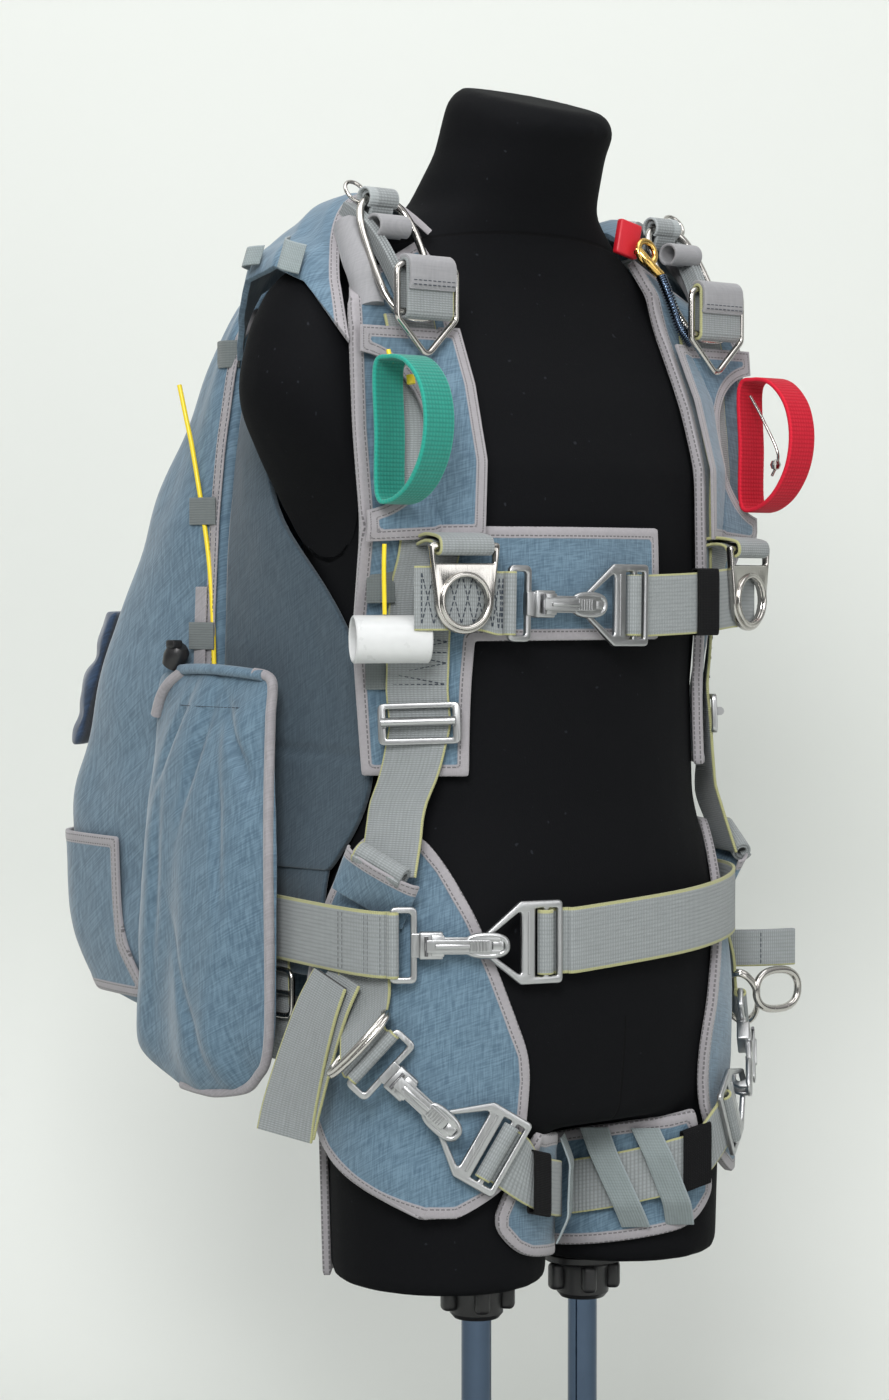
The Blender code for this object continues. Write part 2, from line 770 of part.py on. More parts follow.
def corner_rear(x, height):
    """The container's rear face at x, round its corner."""
    half_width, _, rear, radius = between(PACK_ROWS, height)
    flat_half = half_width - radius
    if abs(x) < flat_half:
        share = (x + flat_half) / (2 * flat_half)
        return rear + swell(share)
    reach = min((abs(x) - flat_half) / radius, 1.0)
    return rear - radius + radius * math.sqrt(1 - reach * reach)


def make_corner_flap():
    """A bound flap round the container's lower right rear corner."""
    def place(across, along):
        height = blend(0.425, 0.545, along)
        half_width, _, rear, radius = between(PACK_ROWS, height)
        off = 0.0027
        run = blend(-0.060, 0.090, across)
        arc = radius * math.pi / 2
        if run < 0:
            y = rear - radius + run
            return Vector((-pack_wall(y, height, off), y, height))
        if run < arc:
            turn = run / radius
            return Vector((-(half_width - radius) - (radius + off) * math.cos(turn),
                           rear - radius + (radius + off) * math.sin(turn), height))
        x = -(half_width - radius) + run - arc
        return Vector((x, corner_rear(x, height) + off, height))
    sheet("corner_flap", place, (10, 3), CLOTH, "blue cloth")


def pad_base(station, across):
    """The shoulder pad's middle surface: station counts the rows, across runs inwards from 0."""
    index = min(int(station), len(PAD_ROWS) - 2)
    share = station - index
    row = [blend(a, b, share) for a, b in zip(PAD_ROWS[index], PAD_ROWS[index + 1])]
    point = Vector(row[3:]).lerp(Vector(row[:3]), across)
    if station > 1:
        layer = 0.0060 + 0.0040 * max(station - PAD_FOOT, 0.0)
        point.y = min(point.y, form_front(point.x, point.z, layer))
    return point


def pad_point(station, across, lift):
    """A point lifted off the pad's middle, along the pad's outward direction."""
    step = 0.02
    last = len(PAD_ROWS) - 1.001
    low, high = max(station - step, 0.0), min(station + step, last)
    run = pad_base(high, across) - pad_base(low, across)
    width = pad_base(station, across + step) - pad_base(station, across - step)
    outward = width.cross(run).normalized()
    return pad_base(station, across) + outward * lift


def pad_station(height):
    """The station of a height on the front of the shoulder pad."""
    for index in range(1, len(PAD_ROWS) - 1):
        high, low = PAD_ROWS[index][2], PAD_ROWS[index + 1][2]
        if height >= low:
            return index + (high - height) / (high - low)
    return len(PAD_ROWS) - 1.001


def pad_at(x, height, lift):
    """A point over the pad by its distance from the body's middle and its height."""
    station = pad_station(height)
    outer, inner = pad_base(station, 0.0).x, pad_base(station, 1.0).x
    return pad_point(station, (outer - x) / (outer - inner), lift)


def make_shoulder_pads():
    pad_columns = 6
    flap_columns = 8
    for side in (RIGHT, LEFT):
        columns = pad_columns + (flap_columns if side == RIGHT else 0)

        def place(across, along, side=side, columns=columns):
            station = along * PAD_FOOT
            column = across * columns
            if column <= pad_columns + 0.001:
                return mirrored(pad_base(station, column / pad_columns), side)
            edge = pad_base(station, 1.0)
            share = (column - pad_columns) / flap_columns
            x = blend(edge.x, CHEST_FLAP_END, share)
            return mirrored(Vector((x, form_front(x, edge.z, 0.0060), edge.z)), side)

        def keep(across, along, columns=columns):
            first, last = CHEST_FLAP_ROWS
            in_flap = first < along * PAD_FOOT < last
            return across * columns < pad_columns or in_flap
        sheet(f"shoulder_pad_{SIDE_NAMES[side]}", place, (columns, 3 * PAD_FOOT), PAD, "blue cloth", keep)


def make_front_panels():
    """The cover of each shoulder pad, with a curved opening at its outer edge for the handle."""
    for side in (RIGHT, LEFT):
        def place(across, along, side=side):
            station = blend(PANEL_TOP, PANEL_FOOT + 0.08, along)
            return mirrored(pad_point(station, across, PANEL_LIFT), side)
        panel = sheet(f"front_panel_{SIDE_NAMES[side]}", place, (6, 10), CLOTH, "blue cloth")
        outline = []
        for step in range(17):
            turn = math.radians(90 + 180 * step / 16)
            outline.append((
                side * (OPENING_MIDDLE[0] + OPENING_RADIUS * math.cos(turn)),
                OPENING_MIDDLE[1] + OPENING_RADIUS * math.sin(turn)))
        outline.append((side * 0.230, outline[-1][1]))
        outline.append((side * 0.230, outline[0][1]))
        cutter = flat(outline, [], 0.030, 0.062)
        cutter.transform(Matrix.Rotation(math.radians(90), 4, "X"))
        work = bmesh.new()
        work.from_mesh(cutter)
        bmesh.ops.recalc_face_normals(work, faces=work.faces)
        work.to_mesh(cutter)
        work.free()
        cut(panel, cutter)


def make_lift_webs():
    for side in (RIGHT, LEFT):
        def place(across, along, side=side):
            height = blend(LIFT_ROWS[-1][0], LIFT_ROWS[0][0], along)
            inner, outer = between(LIFT_ROWS, height)
            return mirrored(pad_at(blend(outer, inner, across), height, LIFT_LIFT), side)
        sheet(f"lift_web_{SIDE_NAMES[side]}", place, (4, 22), WEB, "grey webbing")


def oval(count, half_width, half_length, squareness=2.4):
    """Points round an oval in its own plane, its long way along the second axis."""
    points = []
    for step in range(count):
        turn = 2 * math.pi * step / count
        points.append((half_width * power(math.cos(turn), 2 / squareness),
                       half_length * power(math.sin(turn), 2 / squareness)))
    return points


def make_shoulder_hardware():
    for side in (RIGHT, LEFT):
        name = SIDE_NAMES[side]
        middle = (RING_TOP + RING_FOOT) / 2
        length = (RING_TOP - RING_FOOT)
        along = length.normalized()
        points = [
            mirrored(middle + Vector((x, 0, 0)) + along * y, side)
            for x, y in oval(20, RING_HALF_WIDTH, length.length / 2, 3.0)
        ]
        wire(f"long_ring_{name}", points, RING_WIRE, "polished steel", closed=True)

        corners = [
            (LINK_X - LINK_HALF_WIDTH, LINK_TOP), (LINK_X + LINK_HALF_WIDTH, LINK_TOP),
            (LINK_X + LINK_HALF_WIDTH, LINK_BAR - 0.004), (LINK_X, LINK_FOOT - 0.006),
            (LINK_X - LINK_HALF_WIDTH, LINK_BAR - 0.004),
        ]
        outline = rounded(corners, 0.006, 3)
        loop = wire("loop", [(side * x, LINK_Y, z) for x, z in outline], LINK_WIRE, None, closed=True)
        bar_ends = [(side * (LINK_X + end * LINK_HALF_WIDTH), LINK_Y, LINK_BAR) for end in (-1, 1)]
        bar = wire("bar", bar_ends, LINK_WIRE * 0.9, None)
        bpy.context.view_layer.update()
        united(f"riser_link_{name}", [as_mesh(loop), as_mesh(bar)], Matrix(), "polished steel")

        def band(across, along, side=side):
            radius = LINK_WIRE + 0.0004 + WEB / 2
            straight = LINK_TOP - LINK_BAR
            arc = math.pi * radius
            run = (along % 1.0) * 2 * (straight + arc)
            x = LINK_X + (HARNESS_WIDTH - 0.002) * (across - 0.5)
            if run < straight:
                y, z = LINK_Y - radius, LINK_BAR + run
            elif run < straight + arc:
                turn = (run - straight) / radius
                y, z = LINK_Y - radius * math.cos(turn), LINK_TOP + radius * math.sin(turn)
            elif run < 2 * straight + arc:
                y, z = LINK_Y + radius, LINK_TOP - (run - straight - arc)
            else:
                turn = (run - 2 * straight - arc) / radius
                y, z = LINK_Y + radius * math.cos(turn), LINK_BAR - radius * math.sin(turn)
            return Vector((side * x, y, z))
        sheet(f"riser_band_{name}", band, (2, 22), WEB, "grey webbing", ring=True)


def make_riser_webs():
    """Each riser comes from under the yoke and is folded over the top of the long ring."""
    radius = RING_WIRE + 0.0010 + WEB / 2
    path = [(0.110, 0.9658), (0.080, 0.9768), (0.040, 0.9827), (0.022, 0.9858), (0.0150, 0.9940)]
    for step in range(9):
        turn = math.radians(-20 + 220 * step / 8)
        path.append((RING_TOP.y + radius * math.cos(turn), RING_TOP.z + radius * math.sin(turn)))
    path.append((RING_TOP.y - 0.0030, RING_TOP.z - 0.0090))
    path.append((RING_TOP.y + 0.0005, RING_TOP.z - 0.0160))
    for side in (RIGHT, LEFT):
        def place(across, along, side=side):
            y, z = path[round(along * (len(path) - 1))]
            return Vector((side * (RING_TOP.x + RISER_WIDTH * (across - 0.5)), y, z))
        sheet(f"riser_web_{SIDE_NAMES[side]}", place, (2, len(path) - 1), WEB, "grey webbing")


def plane_matrix(origin, along, outward):
    """A frame with X along, Z outward and Y across, from a start and two rough directions."""
    x_axis = Vector(along).normalized()
    y_axis = Vector(outward).cross(x_axis).normalized()
    z_axis = x_axis.cross(y_axis)
    matrix = Matrix((x_axis, y_axis, z_axis)).transposed().to_4x4()
    matrix.translation = Vector(origin)
    return matrix


def make_chest_rings():
    """Each chest ring is a wide bar with a round eye below it."""
    for side in (RIGHT, LEFT):
        outline = arc_points(CHEST_RING_ROUND, 180, 360, 12, -CHEST_RING_DROP)
        outline += [(0.0250, 0.0120), (0.0280, 0.0340), (-0.0280, 0.0340), (-0.0250, 0.0120)]
        eye = arc_points(CHEST_RING_EYE, 0, 337.5, 15, -CHEST_RING_DROP)
        width, height = CHEST_SLOT_HALF
        slot = [(x, y + CHEST_SLOT_RISE) for x, y in rectangle(-width, width, height)]
        mesh = flat(outline, [eye, slot], -CHEST_RING_THICK / 2, CHEST_RING_THICK / 2)
        upright = Matrix.Rotation(math.radians(90), 4, "X")
        swing = Matrix.Rotation(math.radians(side * CHEST_RING_TURN), 4, "Z")
        place = Matrix.Translation(mirrored(CHEST_RING_MIDDLE, side))
        united(f"chest_ring_{SIDE_NAMES[side]}", [mesh], place @ swing @ upright, "polished steel")


def arc_points(radius, start, end, steps, rise):
    """Points along an arc in degrees, in the plate's own plane."""
    turns = [math.radians(blend(start, end, step / steps)) for step in range(steps + 1)]
    return [(radius * math.cos(turn), radius * math.sin(turn) + rise) for turn in turns]


def make_fitting(name, fitting, side=LEFT):
    """A snap hook, its ejector lever and the V adapter that it holds."""
    directions = [mirrored(Vector(value), side) for value in fitting]
    origin, along, outward, vee_along, vee_outward = directions
    matrix = plane_matrix(origin, along, outward)
    vee_matrix = plane_matrix(matrix @ Vector((VEE_START, 0, 0)), vee_along, vee_outward)
    half = FRAME_THICK / 2
    frame = flat(
        rounded(rectangle(0, FRAME_LENGTH, FRAME_WIDTH / 2), 0.004),
        [rounded(rectangle(FRAME_BAR, FRAME_LENGTH - FRAME_BAR, FRAME_WIDTH / 2 - FRAME_BAR), 0.002)],
        -half, half)
    low = (BLOCK_START, -BLOCK_WIDTH / 2, BLOCK_FOOT)
    high = (BLOCK_END, BLOCK_WIDTH / 2, BLOCK_TOP)
    block = box_mesh(low, high)
    profile = [
        (HOOK_START, HOOK_LOW),
        (HOOK_END - 0.0050, HOOK_LOW),
        (HOOK_END - 0.0032, LIP_HIGH + 0.0030),
        (HOOK_END - 0.0045, LIP_HIGH),
        (HOOK_END - LIP_LENGTH, LIP_HIGH),
        (HOOK_END - LIP_LENGTH, LIP_LOW),
        (HOOK_END - 0.0030, LIP_LOW),
        (HOOK_END, LIP_HIGH - 0.0002),
        (HOOK_END + 0.0010, HOOK_LOW - 0.0010),
        (HOOK_END - 0.0010, HOOK_TOP - 0.0020),
        (HOOK_END - 0.0060, HOOK_TOP),
        (HOOK_START, HOOK_TOP),
    ]
    hook = flat(profile, [], -HOOK_WIDTH / 2, HOOK_WIDTH / 2)
    hook.transform(Matrix.Rotation(math.radians(90), 4, "X"))
    united(f"{name}_snap", [frame, block, hook], matrix, "satin alloy")

    outline = rounded(rectangle(-LEVER_PIVOT, LEVER_END - LEVER_START, LEVER_WIDTH / 2), 0.0025)
    pivot = Vector((LEVER_START + LEVER_PIVOT, 0, HOOK_TOP + LEVER_RISE + LEVER_THICK / 2))
    plate = flat(outline, [], -LEVER_THICK / 2, LEVER_THICK / 2)
    lever = add(f"{name}_lever", plate, "satin alloy")
    lever.matrix_world = matrix @ Matrix.Translation(pivot)

    half = VEE_WIDTH / 2
    bar = VEE_BAR
    corners = [
        (0, -0.006), (VEE_SHOULDER, -half), (VEE_END, -half),
        (VEE_END, half), (VEE_SHOULDER, half), (0, 0.006),
    ]
    window = [
        (bar, -0.0050), (VEE_SHOULDER + 0.0005, -half + 1.45 * bar),
        (VEE_SHOULDER + 0.0005, half - 1.45 * bar), (bar, 0.0050),
    ]
    slots = []
    for start, end in VEE_SLOTS:
        slots.append(rectangle(start, end, half - 1.3 * bar))
    adapter = flat(rounded(corners, 0.003), [window, *slots], -VEE_THICK / 2, VEE_THICK / 2)
    united(f"{name}_vee", [adapter], vee_matrix, "satin alloy")
    return matrix, vee_matrix


def ribbon(name, points, across, width, cells, finish, thick=WEB):
    """A strap along a smooth path, its width along given directions."""
    path = smooth(points, cells[1])
    sides = smooth(across, cells[1])

    def place(u, v):
        index = round(v * cells[1])
        return path[index] + sides[index].normalized() * width * (u - 0.5)
    return sheet(name, place, cells, thick, finish)


def smooth(points, count):
    """Points read evenly from a soft curve through the given ones."""
    points = [Vector(point) for point in points]
    result = []
    spans = len(points) - 1
    for step in range(count + 1):
        at = min(step / count * spans, spans - 0.000001)
        index = int(at)
        share = at - index
        first = points[max(index - 1, 0)]
        second, third = points[index], points[index + 1]
        fourth = points[min(index + 2, spans)]
        result.append(0.5 * (
            2 * second + (third - first) * share
            + (2 * first - 5 * second + 4 * third - fourth) * share ** 2
            + (3 * second - first - 3 * third + fourth) * share ** 3))
    return result


def strap_from_frame(matrix):
    """The first points of a strap under a snap's frame, with their width directions."""
    across = matrix.to_3x3() @ Vector((0, 1, 0))
    points = [matrix @ Vector((x, 0, STRAP_UNDER_FRAME)) for x in (0.011, 0.000, -0.007)]
    return points, [across] * 3


def strap_from_vee(matrix):
    """The first points of a strap under a V adapter's slots, with their width directions."""
    across = matrix.to_3x3() @ Vector((0, 1, 0))
    places = (VEE_END - 0.012, VEE_END, VEE_END + 0.006)
    points = [matrix @ Vector((x, 0, STRAP_UNDER_VEE)) for x in places]
    return points, [across] * 3


def make_chest_strap():
    matrix, vee_matrix = make_fitting("chest", CHEST_FITTING)
    up = Vector((0, 0, 1))
    points, across = strap_from_frame(matrix)
    ring = mirrored(CHEST_RING_MIDDLE, RIGHT)
    rest = [ring + Vector((0.012, 0.0020, -0.004)), ring + Vector((-0.014, 0.0072, -0.004))]
    ribbon("chest_web_right", [*points, *rest], [*across, up, up], HARNESS_WIDTH, (2, 8), "grey webbing")
    points, across = strap_from_vee(vee_matrix)
    ring = mirrored(CHEST_RING_MIDDLE, LEFT)
    rest = [
        Vector((0.078, -0.0965, 0.7235)), ring + Vector((-0.012, 0.0029, -0.004)),
        ring + Vector((0.014, 0.0081, -0.004)),
    ]
    ribbon("chest_web_left", [*points, *rest], [*across, up, up, up], HARNESS_WIDTH, (2, 11), "grey webbing")


def make_adapters():
    """A rectangular friction adapter on each lift web, just above the waist."""
    for side in (RIGHT, LEFT):
        inner, outer = between(LIFT_ROWS, ADAPTER_HEIGHT)
        x = (inner + outer) / 2
        surface = LIFT_LIFT + WEB / 2
        middle = pad_at(x, ADAPTER_HEIGHT, surface + 0.0005)
        up = pad_at(x, ADAPTER_HEIGHT + 0.012, surface) - pad_at(x, ADAPTER_HEIGHT - 0.012, surface)
        aside = pad_at(x + 0.018, ADAPTER_HEIGHT, surface) - pad_at(x - 0.018, ADAPTER_HEIGHT, surface)
        outward = aside.cross(up)
        matrix = plane_matrix(mirrored(middle, side), mirrored(up, side), mirrored(outward, side))
        length, width = ADAPTER_HALF
        mesh = flat(
            rounded(rectangle(-length, length, width), 0.005),
            [rectangle(-length + 0.0045, -0.0015, width - 0.0055),
             rectangle(0.0035, length - 0.0040, width - 0.0055)],
            0.0, ADAPTER_THICK)
        united(f"lift_adapter_{SIDE_NAMES[side]}", [mesh], matrix, "satin alloy")


def make_hip_pads():
    for side in (RIGHT, LEFT):
        def place(across, along, side=side):
            height = blend(HIP_ROWS[0][0], HIP_ROWS[-1][0], along)
            rear, front = between(HIP_ROWS, height)
            return form_point(side * blend(rear, front, across), height, 0.0015 + HIP_PAD / 2)
        sheet(f"hip_pad_{SIDE_NAMES[side]}", place, (9, 14), HIP_PAD, "blue cloth")


def make_leg_pads():
    for side in (RIGHT, LEFT):
        def place(across, along, side=side):
            angle = blend(LEG_PAD_ROWS[0][0], LEG_PAD_ROWS[-1][0], along)
            foot, top = between(LEG_PAD_ROWS, angle)
            return thigh_point(side, angle, blend(foot, top, across), LEG_PAD_OFF + HIP_PAD / 2)
        sheet(f"leg_pad_{SIDE_NAMES[side]}", place, (3, 24), HIP_PAD, "blue cloth")


def make_belly_strap():
    matrix, vee_matrix = make_fitting("belly", BELLY_FITTING)
    up = Vector((0, 0, 1))
    points, across = strap_from_frame(matrix)
    rest = [
        (-0.1815, -0.020, 0.4895), (-0.1795, 0.012, 0.4900), (-0.1745, 0.048, 0.4905),
        (-0.1670, 0.095, 0.4910), (-0.1600, 0.1464, 0.4910),
    ]
    across += [up] * len(rest)
    ribbon("belly_web_right", [*points, *rest], across, BELLY_WIDTH, (2, 18), "grey webbing")
    points, across = strap_from_vee(vee_matrix)
    rest = [form_point(angle, height, 0.0125) for angle, height in BELLY_BAND_ROWS]
    rest += [Vector((0.1600, 0.105, 0.4990)), Vector((0.1570, 0.1464, 0.4960))]
    across += [up] * len(rest)
    ribbon("belly_web_left", [*points, *rest], across, BELLY_WIDTH, (2, 30), "grey webbing")


def make_leg_straps():
    """Each leg strap: its web from the hip, the snap on it, and the webbing on the leg pad."""
    for side in (RIGHT, LEFT):
        name = SIDE_NAMES[side]
        matrix, vee_matrix = make_fitting(f"leg_{name}", LEG_FITTING, side)
        points, across = strap_from_frame(matrix)
        top = form_point(side * 77, 0.4500, 0.0105)
        slope = form_point(side * 69, 0.4600, 0.0105) - form_point(side * 85, 0.4420, 0.0105)
        if across[0].dot(slope) < 0:
            slope.negate()
        ribbon(f"leg_web_{name}", [*points, top], [*across, slope], HARNESS_WIDTH, (2, 8), "grey webbing")
        points, across = strap_from_vee(vee_matrix)
        rest = [thigh_point(side, *row) for row in LEG_BAND_ROWS]
        up = Vector((0, 0, 1)) if across[0].z > 0 else Vector((0, 0, -1))
        across = across[:2] + [up] * len(rest)
        ribbon(f"leg_band_{name}", [*points[:2], *rest], across, LEG_BAND_WIDTH, (2, 16), "grey webbing")


def soft_point(points, at):
    """A point of a soft curve through a closed row of points, at a place counted in points."""
    index = int(at)
    share = at - index
    shifts = (-1, 0, 1, 2)
    first, second, third, fourth = (Vector(points[(index + shift) % len(points)]) for shift in shifts)
    return 0.5 * (
        2 * second + (third - first) * share
        + (2 * first - 5 * second + 4 * third - fourth) * share ** 2
        + (3 * second - first - 3 * third + fourth) * share ** 3)


def make_handles():
    for side, finish in ((RIGHT, "green webbing"), (LEFT, "red webbing")):
        def place(across, along, side=side):
            depth, height = soft_point(HANDLE_ROWS, (along % 1.0) * len(HANDLE_ROWS))
            return Vector((side * (HANDLE_X + HANDLE_WIDTH * (across - 0.5)), -HANDLE_ROOT - depth, height))
        sheet(f"handle_{finish.split()[0]}", place, (2, 26), WEB, finish, ring=True)


def make_tube_and_cables():
    inner, outer = TUBE_RADII
    end = TUBE_LENGTH / 2
    profile = ((inner, -end), (inner, end), (outer, end), (outer, -end), (inner, -end))
    tube = turned("white_tube", profile, "white plastic")
    tube.rotation_euler = TUBE_AXIS.to_track_quat("Z", "Y").to_euler()
    tube.location = TUBE_MIDDLE

    front = smooth([(-0.1800, -0.0485, 0.7640), (-0.1800, -0.0480, 0.7450), (-0.1785, -0.0470, 0.7159)], 12)
    wire("front_cable", front, 0.0016, "yellow coating", sides=1)
    height_rows = (
        (0.668, 0.1516), (0.725, 0.1565), (0.769, 0.1640), (0.832, 0.1800), (0.860, 0.1880), (0.884, 0.1950),
    )
    points = []
    for height, y in height_rows:
        lift = 0.0024 + 0.010 * max(height - 0.80, 0.0) / 0.10
        points.append((-pack_wall(y, min(height, 0.84), lift), y, height))
    wire("side_cable", smooth(points, 24), 0.0018, "yellow coating", sides=1)


def make_tail():
    """The loose end of the belly strap, folded double and hanging at the right hip."""
    ribbon("loose_tail", [
        (-0.1828, 0.006, 0.4620),
        (-0.1900, 0.012, 0.4400),
        (-0.1960, 0.021, 0.4060),
        (-0.1990, 0.031, 0.3720),
        (-0.2000, 0.036, 0.3500),
    ], [(0.15, 1.0, 0.25)] * 5, HARNESS_WIDTH, (2, 8), "grey webbing", FOLDED_WEB)


def make_side_ring():
    """A web loop on the left hip, with a D ring hanging below it."""
    ribbon("side_loop", [
        (0.1798, -0.0280, 0.4590),
        (0.1950, -0.038, 0.4590),
        (0.2110, -0.046, 0.4590),
        (0.2280, -0.051, 0.4590),
    ], [(0, 0, 1)] * 4, 0.028, (2, 6), "grey webbing", FOLDED_WEB)
    points = [
        SIDE_RING_MIDDLE + Vector((x, -0.12 * x, y)) for x, y in oval(18, *SIDE_RING_HALF)
    ]
    wire("side_ring", points, D_RING_WIRE, "polished steel", closed=True)


def main():
    start_scene()
    make_stand()
    make_form()
    make_pack()
    make_pouches()
    make_corner_flap()
    make_shoulder_pads()
    make_front_panels()
    make_lift_webs()
    make_shoulder_hardware()
    make_riser_webs()
    make_chest_rings()
    make_chest_strap()
    make_adapters()
    make_hip_pads()
    make_leg_pads()
    make_belly_strap()
    make_leg_straps()
    make_handles()
    make_tube_and_cables()
    make_tail()
    make_side_ring()


main()
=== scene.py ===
"""The looks of a parachute harness and container on a dress form, built round the packed model.

Metres, +Z up. The wearer faces -Y, and the wearer's right side is -X.
"""
from math import copysign, cos, exp, pi, radians, sin, sqrt, tan, tau

import bmesh
import bpy
import numpy as np
from mathutils import Matrix, Vector, noise


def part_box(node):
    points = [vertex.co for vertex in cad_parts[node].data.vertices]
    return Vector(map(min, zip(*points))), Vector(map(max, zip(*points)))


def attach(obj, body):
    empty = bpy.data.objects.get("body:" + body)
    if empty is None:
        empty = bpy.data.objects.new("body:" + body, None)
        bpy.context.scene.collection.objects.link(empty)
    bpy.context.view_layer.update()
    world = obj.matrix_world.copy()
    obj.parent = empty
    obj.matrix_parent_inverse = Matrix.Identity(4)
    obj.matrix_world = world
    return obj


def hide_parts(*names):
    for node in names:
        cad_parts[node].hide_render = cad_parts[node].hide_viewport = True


bl_info = {
    "name": "Parachute Harness",
    "version": (1, 0, 0),
    "blender": (4, 5, 0),
    "location": "3D View > Sidebar > Parachute",
    "description": "Dresses the harness, its container and the dress form",
    "category": "Object",
}

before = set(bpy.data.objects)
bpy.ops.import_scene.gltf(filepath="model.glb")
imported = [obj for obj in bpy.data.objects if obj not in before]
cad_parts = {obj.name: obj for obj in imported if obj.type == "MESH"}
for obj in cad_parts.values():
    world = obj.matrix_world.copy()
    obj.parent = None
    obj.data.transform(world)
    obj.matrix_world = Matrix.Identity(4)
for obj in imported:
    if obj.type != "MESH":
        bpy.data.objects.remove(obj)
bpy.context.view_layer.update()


def vec(x, y, z):
    return Vector((x, y, z))


RIGHT = -1
LEFT = 1
SIDES = ((RIGHT, "right"), (LEFT, "left"))
UP = vec(0, 0, 1)

# Thicknesses and widths of the pieces
WEB = 0.0022
PAD = 0.006
CLOTH = 0.002
HIP_PAD = 0.005
WING = 0.005
HARNESS_WIDTH = 0.044
BELLY_WIDTH = 0.046
LEG_BAND_WIDTH = 0.04
HANDLE_WIDTH = 0.026
RISER_WIDTH = 0.02
FOLDED_WEB = 0.005
TAPE_RELIEF = 0.0007
THREAD_LIFT = 0.0003

# Reaches and limits of the mesh work
MERGE_REACH = 0.00001
RUN_REACH = 0.0002
RIM_SHARES = (0.85, 1.3)
RIM_TURN = 0.8
CREASE_ANGLE = radians(50)

# Dress form: height, half width, depth in front, depth behind, middle
FORM_POWER = 2.3
FORM_ROWS = (
    (0.24, 0.172, 0.097, 0.1, 0.002),
    (0.34, 0.173, 0.103, 0.112, 0.004),
    (0.362, 0.168, 0.098, 0.11, 0.004),
    (0.42, 0.172, 0.108, 0.115, 0.008),
    (0.5, 0.165, 0.106, 0.105, 0.01),
    (0.58, 0.147, 0.098, 0.095, 0.016),
    (0.66, 0.148, 0.104, 0.095, 0.024),
    (0.74, 0.16, 0.112, 0.1, 0.03),
    (0.82, 0.17, 0.11, 0.108, 0.032),
    (0.87, 0.172, 0.094, 0.11, 0.034),
    (0.91, 0.17, 0.076, 0.108, 0.037),
    (0.95, 0.152, 0.062, 0.095, 0.042),
)
THIGH_CENTRE = (0.087, 0.003)
THIGH_RADII = (0.078, 0.085)
THIGH_TAPER = 0.95
THIGH_FOOT = 0.24
THIGH_TOP = 0.4
POLE_X = 0.053
POLE_RADIUS = 0.011

# Shoulder pads: x, y, z of the inner edge, then of the outer edge
PAD_ROWS = (
    (0.105, 0.004, 0.978, 0.17, 0.0, 0.942),
    (0.103, -0.018, 0.952, 0.186, -0.019, 0.93),
    (0.104, -0.028, 0.91, 0.1905, -0.026, 0.912),
    (0.106, -0.05, 0.843, 0.191, -0.03, 0.843),
    (0.1075, -0.058, 0.776, 0.1885, -0.035, 0.776),
    (0.111, -0.056, 0.698, 0.173, -0.006, 0.698),
    (0.114, -0.052, 0.604, 0.1588, 0.0004, 0.604),
    (0.13, -0.045, 0.567, 0.162, 0.006, 0.567),
    (0.14, -0.04, 0.53, 0.172, 0.01, 0.53),
)
PAD_FOOT = 6
# Main lift webs: height, x of the inner edge, x of the outer edge
LIFT_ROWS = (
    (0.533, 0.1565, 0.1675),
    (0.567, 0.144, 0.158),
    (0.604, 0.13, 0.1515),
    (0.64, 0.122, 0.15),
    (0.698, 0.122, 0.156),
    (0.776, 0.12, 0.162),
    (0.925, 0.121, 0.165),
)
LIFT_LIFT = PAD / 2 + 0.0025 + WEB / 2
PANEL_LIFT = LIFT_LIFT + WEB / 2 + 0.0014 + CLOTH / 2

# Container: height, half width, front, rear, rear corner radius
PACK_ROWS = (
    (0.4, 0.12, 0.165, 0.28, 0.05),
    (0.407, 0.15, 0.152, 0.318, 0.055),
    (0.425, 0.166, 0.148, 0.348, 0.055),
    (0.465, 0.172, 0.147, 0.372, 0.05),
    (0.54, 0.174, 0.147, 0.376, 0.05),
    (0.59, 0.174, 0.147, 0.366, 0.05),
    (0.65, 0.173, 0.147, 0.341, 0.048),
    (0.725, 0.17, 0.147, 0.305, 0.046),
    (0.786, 0.166, 0.147, 0.271, 0.044),
    (0.837, 0.16, 0.147, 0.246, 0.04),
    (0.888, 0.15, 0.147, 0.216, 0.032),
    (0.925, 0.14, 0.147, 0.198, 0.024),
    (0.955, 0.128, 0.147, 0.184, 0.017),
    (0.974, 0.112, 0.147, 0.173, 0.012),
)
PACK_FRONT_RADIUS = 0.006
PACK_BULGE = 0.006

# Webbing on the leg pads: angle, height of its middle, distance off the thigh
LEG_BAND_ROWS = (
    (5.0, 0.32, 0.0145),
    (20.0, 0.313, 0.011),
    (32.0, 0.309, 0.0092),
    (44.0, 0.305, 0.0088),
    (55.0, 0.3015, 0.0088),
    (66.0, 0.298, 0.0088),
)
BELLY_BAND_ROWS = (
    (-12.0, 0.4895),
    (15.0, 0.495),
    (40.0, 0.5),
    (65.0, 0.504),
    (90.0, 0.505),
    (112.0, 0.503),
)
BELLY_RIGHT_ROUTE = (
    (-0.1815, -0.02, 0.4895), (-0.1795, 0.012, 0.49), (-0.1745, 0.048, 0.4905),
    (-0.167, 0.095, 0.491), (-0.16, 0.1464, 0.491),
)
BELLY_LEFT_END = ((0.16, 0.105, 0.499), (0.157, 0.1464, 0.496))
TAIL_ROUTE = (
    (-0.1828, 0.006, 0.462), (-0.19, 0.012, 0.44), (-0.196, 0.021, 0.406),
    (-0.199, 0.031, 0.372), (-0.2, 0.036, 0.35),
)
LOOP_ROUTE = ((0.1798, -0.028, 0.459), (0.195, -0.038, 0.459), (0.211, -0.046, 0.459), (0.228, -0.051, 0.459),)

